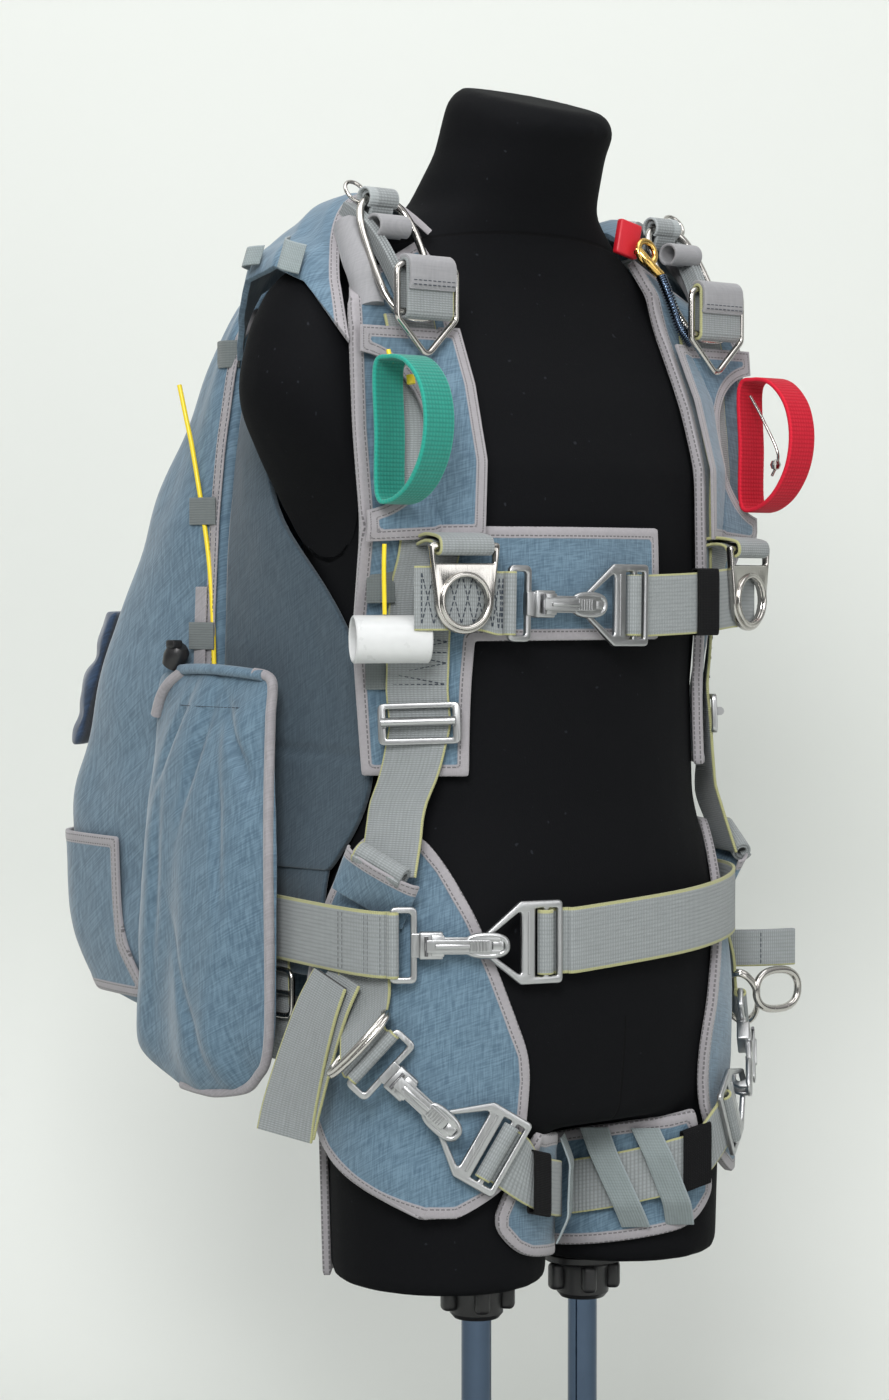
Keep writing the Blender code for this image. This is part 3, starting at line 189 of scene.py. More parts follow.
# Hardware
RING_TOP = vec(0.14, 0.006, 1.006)
RING_FOOT = vec(0.144, -0.0421, 0.919)
RING_HALF_WIDTH = 0.025
RING_WIRE = 0.0028
LINK_WIRE = 0.0024
LINK_Y = -0.049
LINK_X = 0.1425
LINK_HALF_WIDTH = 0.0265
LINK_TOP = 0.955
LINK_BAR = 0.923
LINK_FOOT = 0.899
CHEST_RING_MIDDLE = vec(0.14, -0.085, 0.731)
CHEST_RING_TURN = 12.0
ADAPTER_HEIGHT = 0.64
ADAPTER_HALF = (0.0145, 0.029)
HANDLE_X = 0.178
OPENING_HEIGHT = 0.84
OPENING_RADIUS = 0.054
OPENING_X = 0.196
HANDLE_ROOT = 0.0524
HANDLE_ROWS = (
    (0.0, 0.798), (-0.0008, 0.84), (-0.002, 0.884), (0.012, 0.89), (0.03, 0.886),
    (0.045, 0.87), (0.0505, 0.847), (0.046, 0.823), (0.032, 0.803), (0.013, 0.793),
)
TUBE_MIDDLE = vec(-0.1739, -0.0479, 0.699)
TUBE_AXIS = vec(0.875, -0.485, 0.0)
TUBE_RADII = (0.014, 0.0165)
TUBE_LENGTH = 0.053
SIDE_RING_MIDDLE = vec(0.2105, -0.05, 0.4271)
SIDE_RING_HALF = (0.0205, 0.015)
D_RING_WIRE = 0.003

# Snap hooks: frame, hook, lever and the V adapter, measured along the strap
FRAME_LENGTH = 0.019
FRAME_WIDTH = 0.053
FRAME_BAR = 0.0045
FRAME_THICK = 0.0042
HOOK_START = 0.036
HOOK_END = 0.079
HOOK_LOW = 0.0028
HOOK_TOP = 0.007
LIP_LOW = -0.0078
LIP_HIGH = -0.0048
LIP_LENGTH = 0.0125
LEVER_START = 0.024
LEVER_END = 0.07
LEVER_WIDTH = 0.009
LEVER_THICK = 0.0016
LEVER_RISE = 0.0006
VEE_START = 0.064
VEE_SHOULDER = 0.0285
VEE_END = 0.0605
VEE_WIDTH = 0.058
VEE_THICK = 0.004
VEE_BAR = 0.0042
STRAP_UNDER_FRAME = -(FRAME_THICK / 2 + WEB / 2 + 0.0008)
STRAP_UNDER_VEE = -(VEE_THICK / 2 + WEB / 2 + 0.0008)
FROM_FRAME = (0.0045, 0.0, -0.007), STRAP_UNDER_FRAME
FROM_VEE = (VEE_END - 0.012, VEE_END, VEE_END + 0.006), STRAP_UNDER_VEE
# Start of the frame, direction and outward direction of the hook, then both of the V adapter
FITTINGS = {
    "chest": (
        (-0.1045, -0.0905, 0.7235), (0.9935, -0.105, -0.02), (-0.1, -1.0, 0.0),
        (0.998, -0.06, -0.01), (-0.06, -1.0, 0.0)),
    "belly": (
        (-0.1744, -0.0469, 0.489), (0.785, -0.619, 0.0), (-0.619, -0.785, 0.0),
        (0.955, -0.296, 0.0), (-0.296, -0.955, 0.0)),
    "leg": (
        (0.1843, -0.0385, 0.4135), (-0.527, -0.511, -0.677), (0.62, -0.78, 0.0),
        (-0.742, -0.421, -0.522), (0.4, -0.917, 0.0)),
}

# Camera, from the photograph's own view
CAMERA_PLACE = (-1.5566, -1.6945, 0.7325)
CAMERA_TURN = radians(-41.0)
CAMERA_DROP = radians(2.0)
SENSOR = 36.0
LENS = 80.9
# Backdrop: half width, start of the floor, start and radius of the bend, height of the wall; its rows
SWEEP = (4.5, -3.4, 0.45, 0.45, 3.6)
SWEEP_ROWS = (16, 28, 40)
SKY_STRENGTH = 0.58


def colour_setting(name, description, default):
    return bpy.props.FloatVectorProperty(
        name=name, description=description, subtype="COLOR", size=3, min=0, max=1, default=default)


def length_setting(name, description, low, high, default):
    return bpy.props.FloatProperty(
        name=name, description=description, subtype="DISTANCE", unit="LENGTH", min=low, max=high, default=default)


def chosen():
    """The user's settings, or their defaults."""
    return bpy.context.scene.parachute_looks


class ParachuteLooks(bpy.types.PropertyGroup):
    """Colours and sizes that a user would change."""
    cloth_light: colour_setting("Cloth, light threads", "Lighter threads of the cloth", (0.118, 0.192, 0.254))
    cloth_dark: colour_setting("Cloth, dark threads", "Darker threads of the cloth", (0.056, 0.104, 0.152))
    navy: colour_setting("Navy cloth", "Cloth of the rear pouch", (0.02, 0.04, 0.08))
    tape: colour_setting("Binding tape", "Tape that binds the edges", (0.275, 0.262, 0.276))
    webbing: colour_setting("Webbing", "Grey harness webbing", (0.3, 0.325, 0.33))
    edge_thread: colour_setting("Webbing edge", "Threads along the webbing's edges", (0.33, 0.33, 0.16))
    green: colour_setting("Green handle", "Webbing of the right handle", (0.004, 0.265, 0.2))
    red: colour_setting("Red handle", "Webbing of the left handle", (0.56, 0.013, 0.032))
    jersey: colour_setting("Form cover", "Black jersey of the dress form", (0.0042, 0.0047, 0.0062))
    steel: colour_setting("Ring steel", "Polished rings and links", (0.56, 0.54, 0.51))
    alloy: colour_setting("Snap alloy", "Satin snaps and adapters", (0.64, 0.65, 0.655))
    cable: colour_setting("Cable coating", "Yellow coating of the cables", (0.8, 0.61, 0.02))
    tape_width: length_setting("Tape width", "Width of the binding on each face", 0.004, 0.03, 0.008)
    stitch_pitch: length_setting("Stitch pitch", "Length of one stitch and its gap", 0.001, 0.01, 0.0036)
    rumple: length_setting("Rumple", "Height of the creases in the cloth", 0, 0.01, 0.0016)


def between(rows, at):
    """The values of a table at a place in its first column, straight between its rows."""
    if at <= rows[0][0]:
        return rows[0][1:]
    for low, high in zip(rows, rows[1:]):
        if at <= high[0]:
            share = (at - low[0]) / (high[0] - low[0])
            return tuple(a + (b - a) * share for a, b in zip(low[1:], high[1:]))
    return rows[-1][1:]


def blend(low, high, share):
    return low + (high - low) * share


def ease(low, high, value):
    """0 at low, 1 at high, soft between."""
    share = min(max((value - low) / (high - low), 0.0), 1.0)
    return share * share * (3 - 2 * share)


def power(value, exponent):
    return copysign(abs(value) ** exponent, value)


def mirrored(point, side):
    return vec(side * point[0], point[1], point[2])


def shares(count):
    """Even shares from 0 to 1, both included."""
    return [step / count for step in range(count + 1)]


def turns(count):
    """Angles spread evenly round a full turn."""
    return [tau * step / count for step in range(count)]


def smooth(points, count, closed=False):
    """Points read evenly from a soft curve through the given ones; one vector stands for three."""
    points = [points] * 3 if isinstance(points, Vector) else [Vector(point) for point in points]
    spans = len(points) if closed else len(points) - 1
    result = []
    for step in range(count if closed else count + 1):
        at = min(step / count * spans, spans - 0.000001)
        index = int(at)
        share = at - index
        if closed:
            four = [points[(index + shift) % spans] for shift in (-1, 0, 1, 2)]
        else:
            four = [points[min(max(index + shift, 0), spans)] for shift in (-1, 0, 1, 2)]
        first, second, third, fourth = four
        result.append(0.5 * (
            2 * second + (third - first) * share
            + (2 * first - 5 * second + 4 * third - fourth) * share ** 2
            + (3 * second - first - 3 * third + fourth) * share ** 3))
    return result


def form_section(height):
    return between(FORM_ROWS, height)


def form_point(angle, height, off):
    """A point off the dress form's side: angle from the front, positive to the left."""
    half_width, front, rear, middle = form_section(height)
    turn = radians(angle)
    depth = front if cos(turn) > 0 else rear
    x = (half_width + off) * power(sin(turn), 2 / FORM_POWER)
    y = middle - (depth + off) * power(cos(turn), 2 / FORM_POWER)
    return vec(x, y, height)


def form_front(x, height, off):
    half_width, front, _, middle = form_section(height)
    share = min(abs(x) / (half_width + off), 1.0)
    return middle - (front + off) * (1 - share ** FORM_POWER) ** (1 / FORM_POWER)


def thigh_point(side, angle, height, off):
    """A point off the thigh: angle from the front towards the crotch."""
    turn = radians(angle)
    share = min((height - THIGH_FOOT) / (THIGH_TOP - THIGH_FOOT), 1.0)
    radii = [radius * blend(THIGH_TAPER, 1.0, share) + off for radius in THIGH_RADII]
    x = THIGH_CENTRE[0] - radii[0] * sin(turn)
    y = THIGH_CENTRE[1] - radii[1] * cos(turn)
    return vec(side * x, y, height)


def pad_base(station, across):
    """The shoulder pad's middle surface: station counts the rows, across runs inwards from 0."""
    index = min(int(station), len(PAD_ROWS) - 2)
    share = station - index
    row = [blend(a, b, share) for a, b in zip(PAD_ROWS[index], PAD_ROWS[index + 1])]
    point = Vector(row[3:]).lerp(Vector(row[:3]), across)
    if station > 1:
        layer = 0.006 + 0.004 * max(station - PAD_FOOT, 0.0)
        point.y = min(point.y, form_front(point.x, point.z, layer))
    return point


def pad_point(station, across, lift):
    """A point lifted off the pad's middle, along the pad's outward direction."""
    step = 0.02
    last = len(PAD_ROWS) - 1.001
    low, high = max(station - step, 0.0), min(station + step, last)
    run = pad_base(high, across) - pad_base(low, across)
    width = pad_base(station, across + step) - pad_base(station, across - step)
    return pad_base(station, across) + width.cross(run).normalized() * lift


def pad_at(x, height, lift):
    """A point over the pad by its distance from the body's middle and its height."""
    station = len(PAD_ROWS) - 1.001
    for index in range(1, len(PAD_ROWS) - 1):
        high, low = PAD_ROWS[index][2], PAD_ROWS[index + 1][2]
        if height >= low:
            station = index + (high - height) / (high - low)
            break
    outer, inner = pad_base(station, 0.0).x, pad_base(station, 1.0).x
    return pad_point(station, (outer - x) / (outer - inner), lift)


def pack_wall(y, height, off):
    """Half the container's width at a depth and height, plus a layer on it."""
    half_width, front, rear, radius = between(PACK_ROWS, height)
    straight = rear - radius
    if y < straight:
        start = front + PACK_FRONT_RADIUS
        share = max((y - start) / (straight - start), 0.0)
        return half_width + 4 * share * (1 - share) * PACK_BULGE + off
    reach = min((y - straight) / (radius + off), 1.0)
    return half_width - radius + (radius + off) * sqrt(1 - reach * reach)


def plane_matrix(origin, along, outward):
    """A frame with X along, Z outward and Y across, from a start and two rough directions."""
    x_axis = Vector(along).normalized()
    y_axis = Vector(outward).cross(x_axis).normalized()
    z_axis = x_axis.cross(y_axis)
    matrix = Matrix((x_axis, y_axis, z_axis)).transposed().to_4x4()
    matrix.translation = Vector(origin)
    return matrix


def add_node(tree, kind, **values):
    made = tree.nodes.new(kind)
    for key, value in values.items():
        setattr(made, key, value)
    return made


def feed(tree, socket, value):
    """Links an output to a socket, or sets a plain value on it; a colour gains its alpha."""
    if isinstance(value, bpy.types.NodeSocket):
        tree.links.new(value, socket)
    elif socket.type == "RGBA" and len(value) == 3:
        socket.default_value = (*value, 1.0)
    else:
        socket.default_value = value


def reckon(tree, operation, *values):
    made = add_node(tree, "ShaderNodeMath", operation=operation)
    for socket, value in zip(made.inputs, values):
        feed(tree, socket, value)
    return made.outputs[0]


def times(tree, first, second):
    return reckon(tree, "MULTIPLY", first, second)


def plus(tree, first, second):
    return reckon(tree, "ADD", first, second)


def minus(tree, first, second):
    return reckon(tree, "SUBTRACT", first, second)


def mixed(tree, factor, first, second):
    """A mix of two colours."""
    made = add_node(tree, "ShaderNodeMix", data_type="RGBA")
    for socket, value in zip((made.inputs[0], *made.inputs[6:8]), (factor, first, second)):
        feed(tree, socket, value)
    return made.outputs[2]


def ramped(tree, value, low, high, start=0.0, end=1.0):
    made = add_node(tree, "ShaderNodeMapRange")
    for socket, amount in zip(made.inputs, (value, low, high, start, end)):
        feed(tree, socket, amount)
    return made.outputs[0]


def speckle(tree, vector, scale, detail=2.0):
    made = add_node(tree, "ShaderNodeTexNoise")
    for label, value in (("Scale", scale), ("Detail", detail), ("Vector", vector)):
        feed(tree, made.inputs[label], value)
    return made.outputs[0]


def combined(tree, x, y, z=0.0):
    made = add_node(tree, "ShaderNodeCombineXYZ")
    for socket, value in zip(made.inputs, (x, y, z)):
        feed(tree, socket, value)
    return made.outputs[0]


def parted(tree, vector):
    made = add_node(tree, "ShaderNodeSeparateXYZ")
    tree.links.new(vector, made.inputs[0])
    return made.outputs


def node_group(name, inputs, outputs):
    tree = bpy.data.node_groups.new(name, "ShaderNodeTree")
    for label, kind, value in inputs:
        socket = tree.interface.new_socket(label, in_out="INPUT", socket_type=f"NodeSocket{kind}")
        if value is not None:
            socket.default_value = value
    for label, kind in outputs:
        tree.interface.new_socket(label, in_out="OUTPUT", socket_type=f"NodeSocket{kind}")
    return tree, tree.nodes.new("NodeGroupInput").outputs, tree.nodes.new("NodeGroupOutput").inputs


def weave_group():
    """Heathered plain weave: long and short streaks both ways, and slow patches."""
    tree, given, out = node_group(
        "Heathered Weave",
        [("Vector", "Vector", None), ("Light", "Color", (0.2, 0.3, 0.4, 1)), ("Dark", "Color", (0.1, 0.15, 0.2, 1)),
         ("Contrast", "Float", 1.0)],
        [("Colour", "Color"), ("Height", "Float"), ("Rough", "Float")])
    x, y, z = parted(tree, given["Vector"])
    around = times(tree, reckon(tree, "ARCTAN2", x, minus(tree, 0.03, y)), 0.17)
    tall = plus(tree, z, times(tree, y, 0.6))
    warp = speckle(tree, combined(tree, times(tree, around, 850.0), times(tree, tall, 75.0)), 1.0)
    weft = speckle(tree, combined(tree, times(tree, around, 75.0), times(tree, tall, 850.0)), 1.0)
    patch = speckle(tree, given["Vector"], 9.0, 3.0)
    both = plus(tree, times(tree, warp, 0.5), times(tree, weft, 0.5))
    slow = times(tree, minus(tree, patch, 0.5), 0.3)
    spread = times(tree, minus(tree, both, 0.5), times(tree, given["Contrast"], 4.6))
    share = add_node(tree, "ShaderNodeClamp")
    feed(tree, share.inputs[0], plus(tree, plus(tree, spread, slow), 0.5))
    feed(tree, out["Colour"], mixed(tree, share.outputs[0], given["Dark"], given["Light"]))
    feed(tree, out["Height"], both)
    feed(tree, out["Rough"], ramped(tree, patch, 0.3, 0.7, 0.78, 0.9))
    return tree


def tape_group():
    """Binding tape along an edge, with two rows of stitches, from the edge's own map."""
    tree, given, out = node_group(
        "Bound Edge",
        [("Along", "Float", 0.0), ("Distance", "Float", 1.0), ("Width", "Float", 0.0105),
         ("Pitch", "Float", 0.0036)],
        [("Tape", "Float"), ("Thread", "Float"), ("Height", "Float")])
    along, distance, width, pitch = given[:4]
    inside = minus(tree, width, distance)
    tape = ramped(tree, inside, -0.0003, 0.0003)
    dash = reckon(tree, "LESS_THAN", reckon(tree, "FRACT", reckon(tree, "DIVIDE", along, pitch)), 0.68)
    rows = []
    for place in (0.24, 0.8):
        off = reckon(tree, "ABSOLUTE", minus(tree, distance, times(tree, width, place)))
        rows.append(reckon(tree, "LESS_THAN", off, 0.00042))
    thread = times(tree, reckon(tree, "MAXIMUM", *rows), dash)
    off = reckon(tree, "ABSOLUTE", minus(tree, distance, times(tree, width, 0.8)))
    groove = ramped(tree, off, 0.0, 0.0016, -0.45, 0.0)
    rib = times(tree, reckon(tree, "SINE", times(tree, along, 5200.0)), 0.06)
    raised = plus(tree, times(tree, tape, 1.0), plus(tree, groove, rib))
    feed(tree, out["Tape"], tape)
    feed(tree, out["Thread"], thread)
    feed(tree, out["Height"], times(tree, raised, tape))
    return tree


def rib_group():
    """Woven webbing: ribs across, rows along, and edge threads, from the strap's own map in metres."""
    tree, given, out = node_group(
        "Webbing Ribs",
        [("Across", "Float", 0.0), ("Along", "Float", 0.0), ("Width", "Float", 0.044), ("Rib", "Float", 0.0016),
         ("Row", "Float", 0.0028), ("Edge", "Float", 0.0014)],
        [("Height", "Float"), ("Groove Shade and Tone", "Float"), ("Edge", "Float")])
    across, along, width, pitch, gap, border = given[:6]
    rib = reckon(tree, "ABSOLUTE", reckon(tree, "SINE", reckon(
        tree, "DIVIDE", times(tree, along, pi), pitch)))
    row = reckon(tree, "ABSOLUTE", reckon(tree, "SINE", reckon(
        tree, "DIVIDE", times(tree, across, pi), gap)))
    height = times(tree, rib, plus(tree, times(tree, row, 0.6), 0.4))
    wander = speckle(tree, combined(tree, times(tree, across, 700.0), times(tree, along, 60.0)), 1.0)
    # Painted shade in the grooves between ribs, mixed with random tone from wander
    shade = plus(tree, times(tree, height, 0.55), times(tree, wander, 0.45))
    rim = reckon(tree, "MINIMUM", across, minus(tree, width, across))
    feed(tree, out["Height"], height)
    feed(tree, out["Groove Shade and Tone"], shade)
    feed(tree, out["Edge"], ramped(tree, rim, border, plus(tree, border, 0.0004), 1.0, 0.0))
    return tree


def wear_group():
    """Fine scratches and slow blotches of handled metal and plastic."""
    tree, given, out = node_group(
        "Handling Wear",
        [("Vector", "Vector", None), ("Scale", "Float", 1.0)],
        [("Scratch", "Float"), ("Blotch", "Float"), ("Height", "Float")])
    place = add_node(tree, "ShaderNodeVectorMath", operation="SCALE")
    feed(tree, place.inputs[0], given["Vector"])
    feed(tree, place.inputs["Scale"], given["Scale"])
    x, y, z = parted(tree, place.outputs[0])
    lines = speckle(tree, combined(
        tree, times(tree, x, 900.0), times(tree, y, 900.0), times(tree, z, 60.0)), 1.0)
    blotch = speckle(tree, place.outputs[0], 70.0, 3.0)
    feed(tree, out["Scratch"], ramped(tree, lines, 0.55, 0.72))
    feed(tree, out["Blotch"], blotch)
    feed(tree, out["Height"], plus(tree, lines, times(tree, blotch, 0.5)))
    return tree


GROUPS = {"weave": weave_group, "tape": tape_group, "rib": rib_group, "wear": wear_group}
MADE_GROUPS = {}
FINISHES = {}


def placed_group(tree, key, **values):
    """A shared group in a material, with that material's own values; gives its outputs."""
    if key not in MADE_GROUPS:
        MADE_GROUPS[key] = GROUPS[key]()
    made = add_node(tree, "ShaderNodeGroup")
    made.node_tree = MADE_GROUPS[key]
    for label, value in values.items():
        feed(tree, made.inputs[label], value)
    return made.outputs


def new_material(name, roughness=0.5, metallic=0.0, **values):
    material = bpy.data.materials.new(name)
    material.use_nodes = True
    tree = material.node_tree
    shader = tree.nodes["Principled BSDF"]
    shader.inputs["Roughness"].default_value = roughness
    shader.inputs["Metallic"].default_value = metallic
    for label, value in values.items():
        shader.inputs[label.replace("_", " ")].default_value = value
    FINISHES[name] = material
    return tree, shader


def surfaced(tree, shader, colour, rough, height, strength, distance):
    """Feeds a shader's colour, roughness and relief."""
    feed(tree, shader.inputs["Base Color"], colour)
    feed(tree, shader.inputs["Roughness"], rough)
    bump = add_node(tree, "ShaderNodeBump")
    for label, value in (("Strength", strength), ("Distance", distance), ("Height", height)):
        feed(tree, bump.inputs[label], value)
    tree.links.new(bump.outputs[0], shader.inputs["Normal"])


def object_place(tree):
    return add_node(tree, "ShaderNodeTexCoord").outputs["Object"]


def own_map(tree, name):
    return parted(tree, add_node(tree, "ShaderNodeUVMap", uv_map=name).outputs[0])


def tinted(colour, share):
    return tuple(c * share for c in colour)


def cloth_finish(name, light, dark, contrast=1.0, bound=True):
    """Heathered cloth, with its binding where the piece has an edge map."""
    looks = chosen()
    tape = tuple(looks.tape)
    tree, shader = new_material(name, 0.85, Sheen_Weight=0.25, Sheen_Roughness=0.5)
    weave = placed_group(tree, "weave", Vector=object_place(tree), Light=light, Dark=dark, Contrast=contrast)
    colour, height, rough = weave["Colour"], weave["Height"], weave["Rough"]
    if bound:
        along, distance, _ = own_map(tree, "Edge")
        edge = placed_group(
            tree, "tape", Along=along, Distance=distance, Width=looks.tape_width, Pitch=looks.stitch_pitch)
        speck = speckle(tree, object_place(tree), 420.0)
        tape_colour = mixed(tree, speck, tinted(tape, 0.86), tuple(min(c * 1.1, 1) for c in tape))
        colour = mixed(tree, edge["Tape"], colour, tape_colour)
        colour = mixed(tree, edge["Thread"], colour, tinted(tape, 0.38))
        height = plus(tree, times(tree, height, 0.35), edge["Height"])
    surfaced(tree, shader, colour, rough, height, 0.5, 0.0005)


def webbing_finish(name, colour, edge_colour, width, rib=0.0016, row=0.0028, edge=0.0011, dark=0.42, gloss=0.75):
    tree, shader = new_material(
        name, gloss, Sheen_Weight=0.15 * min(colour[1] / 0.1, 1), Specular_IOR_Level=min(0.15 + colour[1] * 4, 0.5))
    across, along, _ = own_map(tree, "Strap")
    rib_out = placed_group(tree, "rib", Across=across, Along=along, Width=width, Rib=rib, Row=row, Edge=edge)
    blotch = speckle(tree, object_place(tree), 24.0, 3.0)
    # Painted shade: the colour darkens towards its dark share in the grooves between ribs, mixed with random tone
    body = mixed(tree, rib_out["Groove Shade and Tone"], tinted(colour, dark), colour)
    body = mixed(tree, times(tree, blotch, 0.35), body, tinted(colour, 0.72))
    body = mixed(tree, rib_out["Edge"], body, edge_colour)
    rough = ramped(tree, rib_out["Height"], 0.0, 1.0, gloss + 0.12, gloss - 0.05)
    surfaced(tree, shader, body, rough, rib_out["Height"], 0.6, 0.0005)


def metal_finish(name, colour, roughness, scratch=0.12, scale=1.0, metallic=1.0):
    tree, shader = new_material(name, roughness, metallic)
    wear = placed_group(tree, "wear", Vector=object_place(tree), Scale=scale)
    dull = tinted(colour, 0.78)
    shade = mixed(tree, times(tree, wear["Blotch"], 0.6), colour, dull)
    rough = plus(tree, times(tree, wear["Scratch"], scratch), times(tree, wear["Blotch"], 0.12))
    rough = plus(tree, rough, max(roughness - 0.06, 0.02))
    surfaced(tree, shader, shade, rough, wear["Height"], 0.12, 0.0002)


def plain_finish(name, colour, roughness, relief=0.2, **values):
    """Moulded or coated surfaces: a faint mottle in the colour, gloss and relief."""
    tree, shader = new_material(name, roughness, **values)
    wear = placed_group(tree, "wear", Vector=object_place(tree), Scale=1.6)
    shade = mixed(tree, wear["Blotch"], tinted(colour, 0.88), colour)
    rough = ramped(tree, wear["Blotch"], 0.3, 0.7, roughness - 0.06, roughness + 0.08)
    surfaced(tree, shader, shade, rough, wear["Height"], relief, 0.0002)


def jersey_finish(colour):
    """Black stretch cover with fine lint, and the seam round the neck."""
    tree, shader = new_material("black jersey", 0.86, Specular_IOR_Level=0.12)
    place = object_place(tree)
    x, y, z = parted(tree, place)
    knit = speckle(tree, place, 900.0)
    lint = ramped(tree, speckle(tree, place, 260.0, 0.0), 0.84, 0.88)
    slope = plus(tree, minus(tree, z, 0.985), times(tree, y, 0.33))
    seam = ramped(tree, reckon(tree, "ABSOLUTE", slope), 0.0006, 0.0016, 1.0, 0.0)
    front = times(tree, ramped(tree, reckon(tree, "ABSOLUTE", x), 0.0005, 0.0013, 1.0, 0.0), reckon(
        tree, "LESS_THAN", z, 0.43))
    line = reckon(tree, "MAXIMUM", seam, front)
    shade = mixed(tree, knit, tinted(colour, 0.35), tinted(colour, 0.75))
    shade = mixed(tree, times(tree, lint, 0.4), shade, (0.03, 0.033, 0.04))
    shade = mixed(tree, line, shade, (0.0012, 0.0012, 0.0016))
    rough = ramped(tree, knit, 0.3, 0.7, 0.78, 0.9)
    surfaced(tree, shader, shade, rough, minus(tree, times(tree, knit, 0.4), line), 0.4, 0.0006)


def make_finishes():
    looks = chosen()
    light, dark = tuple(looks.cloth_light), tuple(looks.cloth_dark)
    tape = tuple(looks.tape)
    cloth_finish("blue cloth", light, dark)
    cloth_finish("blue cloth, plain", light, dark, bound=False)
    # Painted shade: a darker copy of the blue cloth for the wings and the waist cloth, which stand in shade
    shade = tinted(light, 0.36), tinted(dark, 0.38)
    cloth_finish("wing cloth, painted shade", *shade, bound=False)
    navy = tuple(looks.navy)
    cloth_finish("navy cloth", tinted(navy, 1.5), tinted(navy, 0.75), bound=False)
    cloth_finish("grey tape", tinted(tape, 1.06), tinted(tape, 0.84), bound=False)
    cloth_finish("satin grey", (0.27, 0.27, 0.28), (0.2, 0.2, 0.21), 0.4, bound=False)
    web, olive = tuple(looks.webbing), tuple(looks.edge_thread)
    webbing_finish("webbing", web, olive, HARNESS_WIDTH)
    webbing_finish("belly webbing", web, olive, BELLY_WIDTH, edge=0.0018)
    webbing_finish("leg webbing", web, olive, LEG_BAND_WIDTH, rib=0.003)
    webbing_finish("riser webbing", tinted(web, 1.02), web, RISER_WIDTH, rib=0.002)
    webbing_finish("grey elastic", (0.165, 0.19, 0.19), (0.13, 0.15, 0.15), 0.026, rib=0.0011, row=0.0018)
    webbing_finish("pale elastic", (0.27, 0.32, 0.325), (0.24, 0.28, 0.29), 0.026, rib=0.0012, row=0.002)
    webbing_finish("black elastic", (0.004, 0.004, 0.005), (0.004, 0.004, 0.004), 0.026, rib=0.0012, row=0.0018)
    webbing_finish("green webbing", tuple(looks.green), tuple(looks.green), HANDLE_WIDTH, rib=0.003, dark=0.45)
    webbing_finish("red webbing", tuple(looks.red), tuple(looks.red), HANDLE_WIDTH, rib=0.003, dark=0.55)
    jersey_finish(tuple(looks.jersey))
    metal_finish("polished steel", tuple(looks.steel), 0.17)
    metal_finish("satin alloy", tinted(looks.alloy, 0.72), 0.34, scratch=0.16)
    # Painted reflection: a dark blue base colour stands in for the dark blue surroundings seen in the chrome
    metal_finish("chrome, painted dark blue reflection", (0.075, 0.105, 0.155), 0.05)
    metal_finish("brass", (0.78, 0.5, 0.15), 0.22)
    metal_finish("dark steel", (0.2, 0.2, 0.21), 0.35)
    plain_finish("base coating", (0.035, 0.036, 0.038), 0.5, 0.4)
    plain_finish("yellow coating", tuple(looks.cable), 0.38)
    plain_finish("white plastic", (0.58, 0.59, 0.59), 0.32, 0.1, Coat_Weight=0.2)
    plain_finish("clear collar", (0.72, 0.74, 0.75), 0.25)
    plain_finish("black plastic", (0.01, 0.01, 0.011), 0.38)
    plain_finish("red leather", (0.52, 0.01, 0.022), 0.45, 0.5)
    plain_finish("dark thread", (0.03, 0.04, 0.055), 0.8)
    plain_finish("grey thread", (0.15, 0.16, 0.165), 0.8)
    plain_finish("hook tape", (0.05, 0.052, 0.052), 0.95, 1.0)


def settle(thing, finish, body="root", replaced=()):
    """Gives a finished object its material, body, slot and the nodes that it stands for."""
    thing.data.materials.clear()
    thing.data.materials.append(FINISHES[finish])
    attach(thing, body)
    if replaced:
        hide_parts(*replaced)
    return thing


def linked(name, data):
    thing = bpy.data.objects.new(name, data)
    bpy.context.scene.collection.objects.link(thing)
    return thing


def mesh_from(work, name):
    mesh = bpy.data.meshes.new(name)
    work.to_mesh(mesh)
    work.free()
    return mesh


def merge(work, reach=MERGE_REACH):
    bmesh.ops.remove_doubles(work, verts=work.verts, dist=reach)


def face_out(work):
    bmesh.ops.recalc_face_normals(work, faces=work.faces)


def from_bmesh(name, work, finish, body="root", replaced=(), smooth_angle=40.0):
    """An object at the origin from a bmesh, shaded smooth but for its sharp edges."""
    mesh = mesh_from(work, name)
    mesh.shade_smooth()
    mesh.set_sharp_from_angle(angle=radians(smooth_angle))
    return settle(linked(name, mesh), finish, body, replaced)


def evaluated(thing):
    """The mesh that an object shows, after which the object is removed."""
    bpy.context.view_layer.update()
    graph = bpy.context.evaluated_depsgraph_get()
    mesh = bpy.data.meshes.new_from_object(thing.evaluated_get(graph))
    mesh.transform(thing.matrix_world)
    bpy.data.objects.remove(thing)
    return mesh


def node_bmesh(node):
    """A merged copy of a CAD node's mesh, its triangles joined back into quads."""
    work = bmesh.new()
    work.from_mesh(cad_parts[node].data)
    merge(work)
    bmesh.ops.join_triangles(
        work, faces=work.faces, angle_face_threshold=radians(35), angle_shape_threshold=radians(60))
    return work


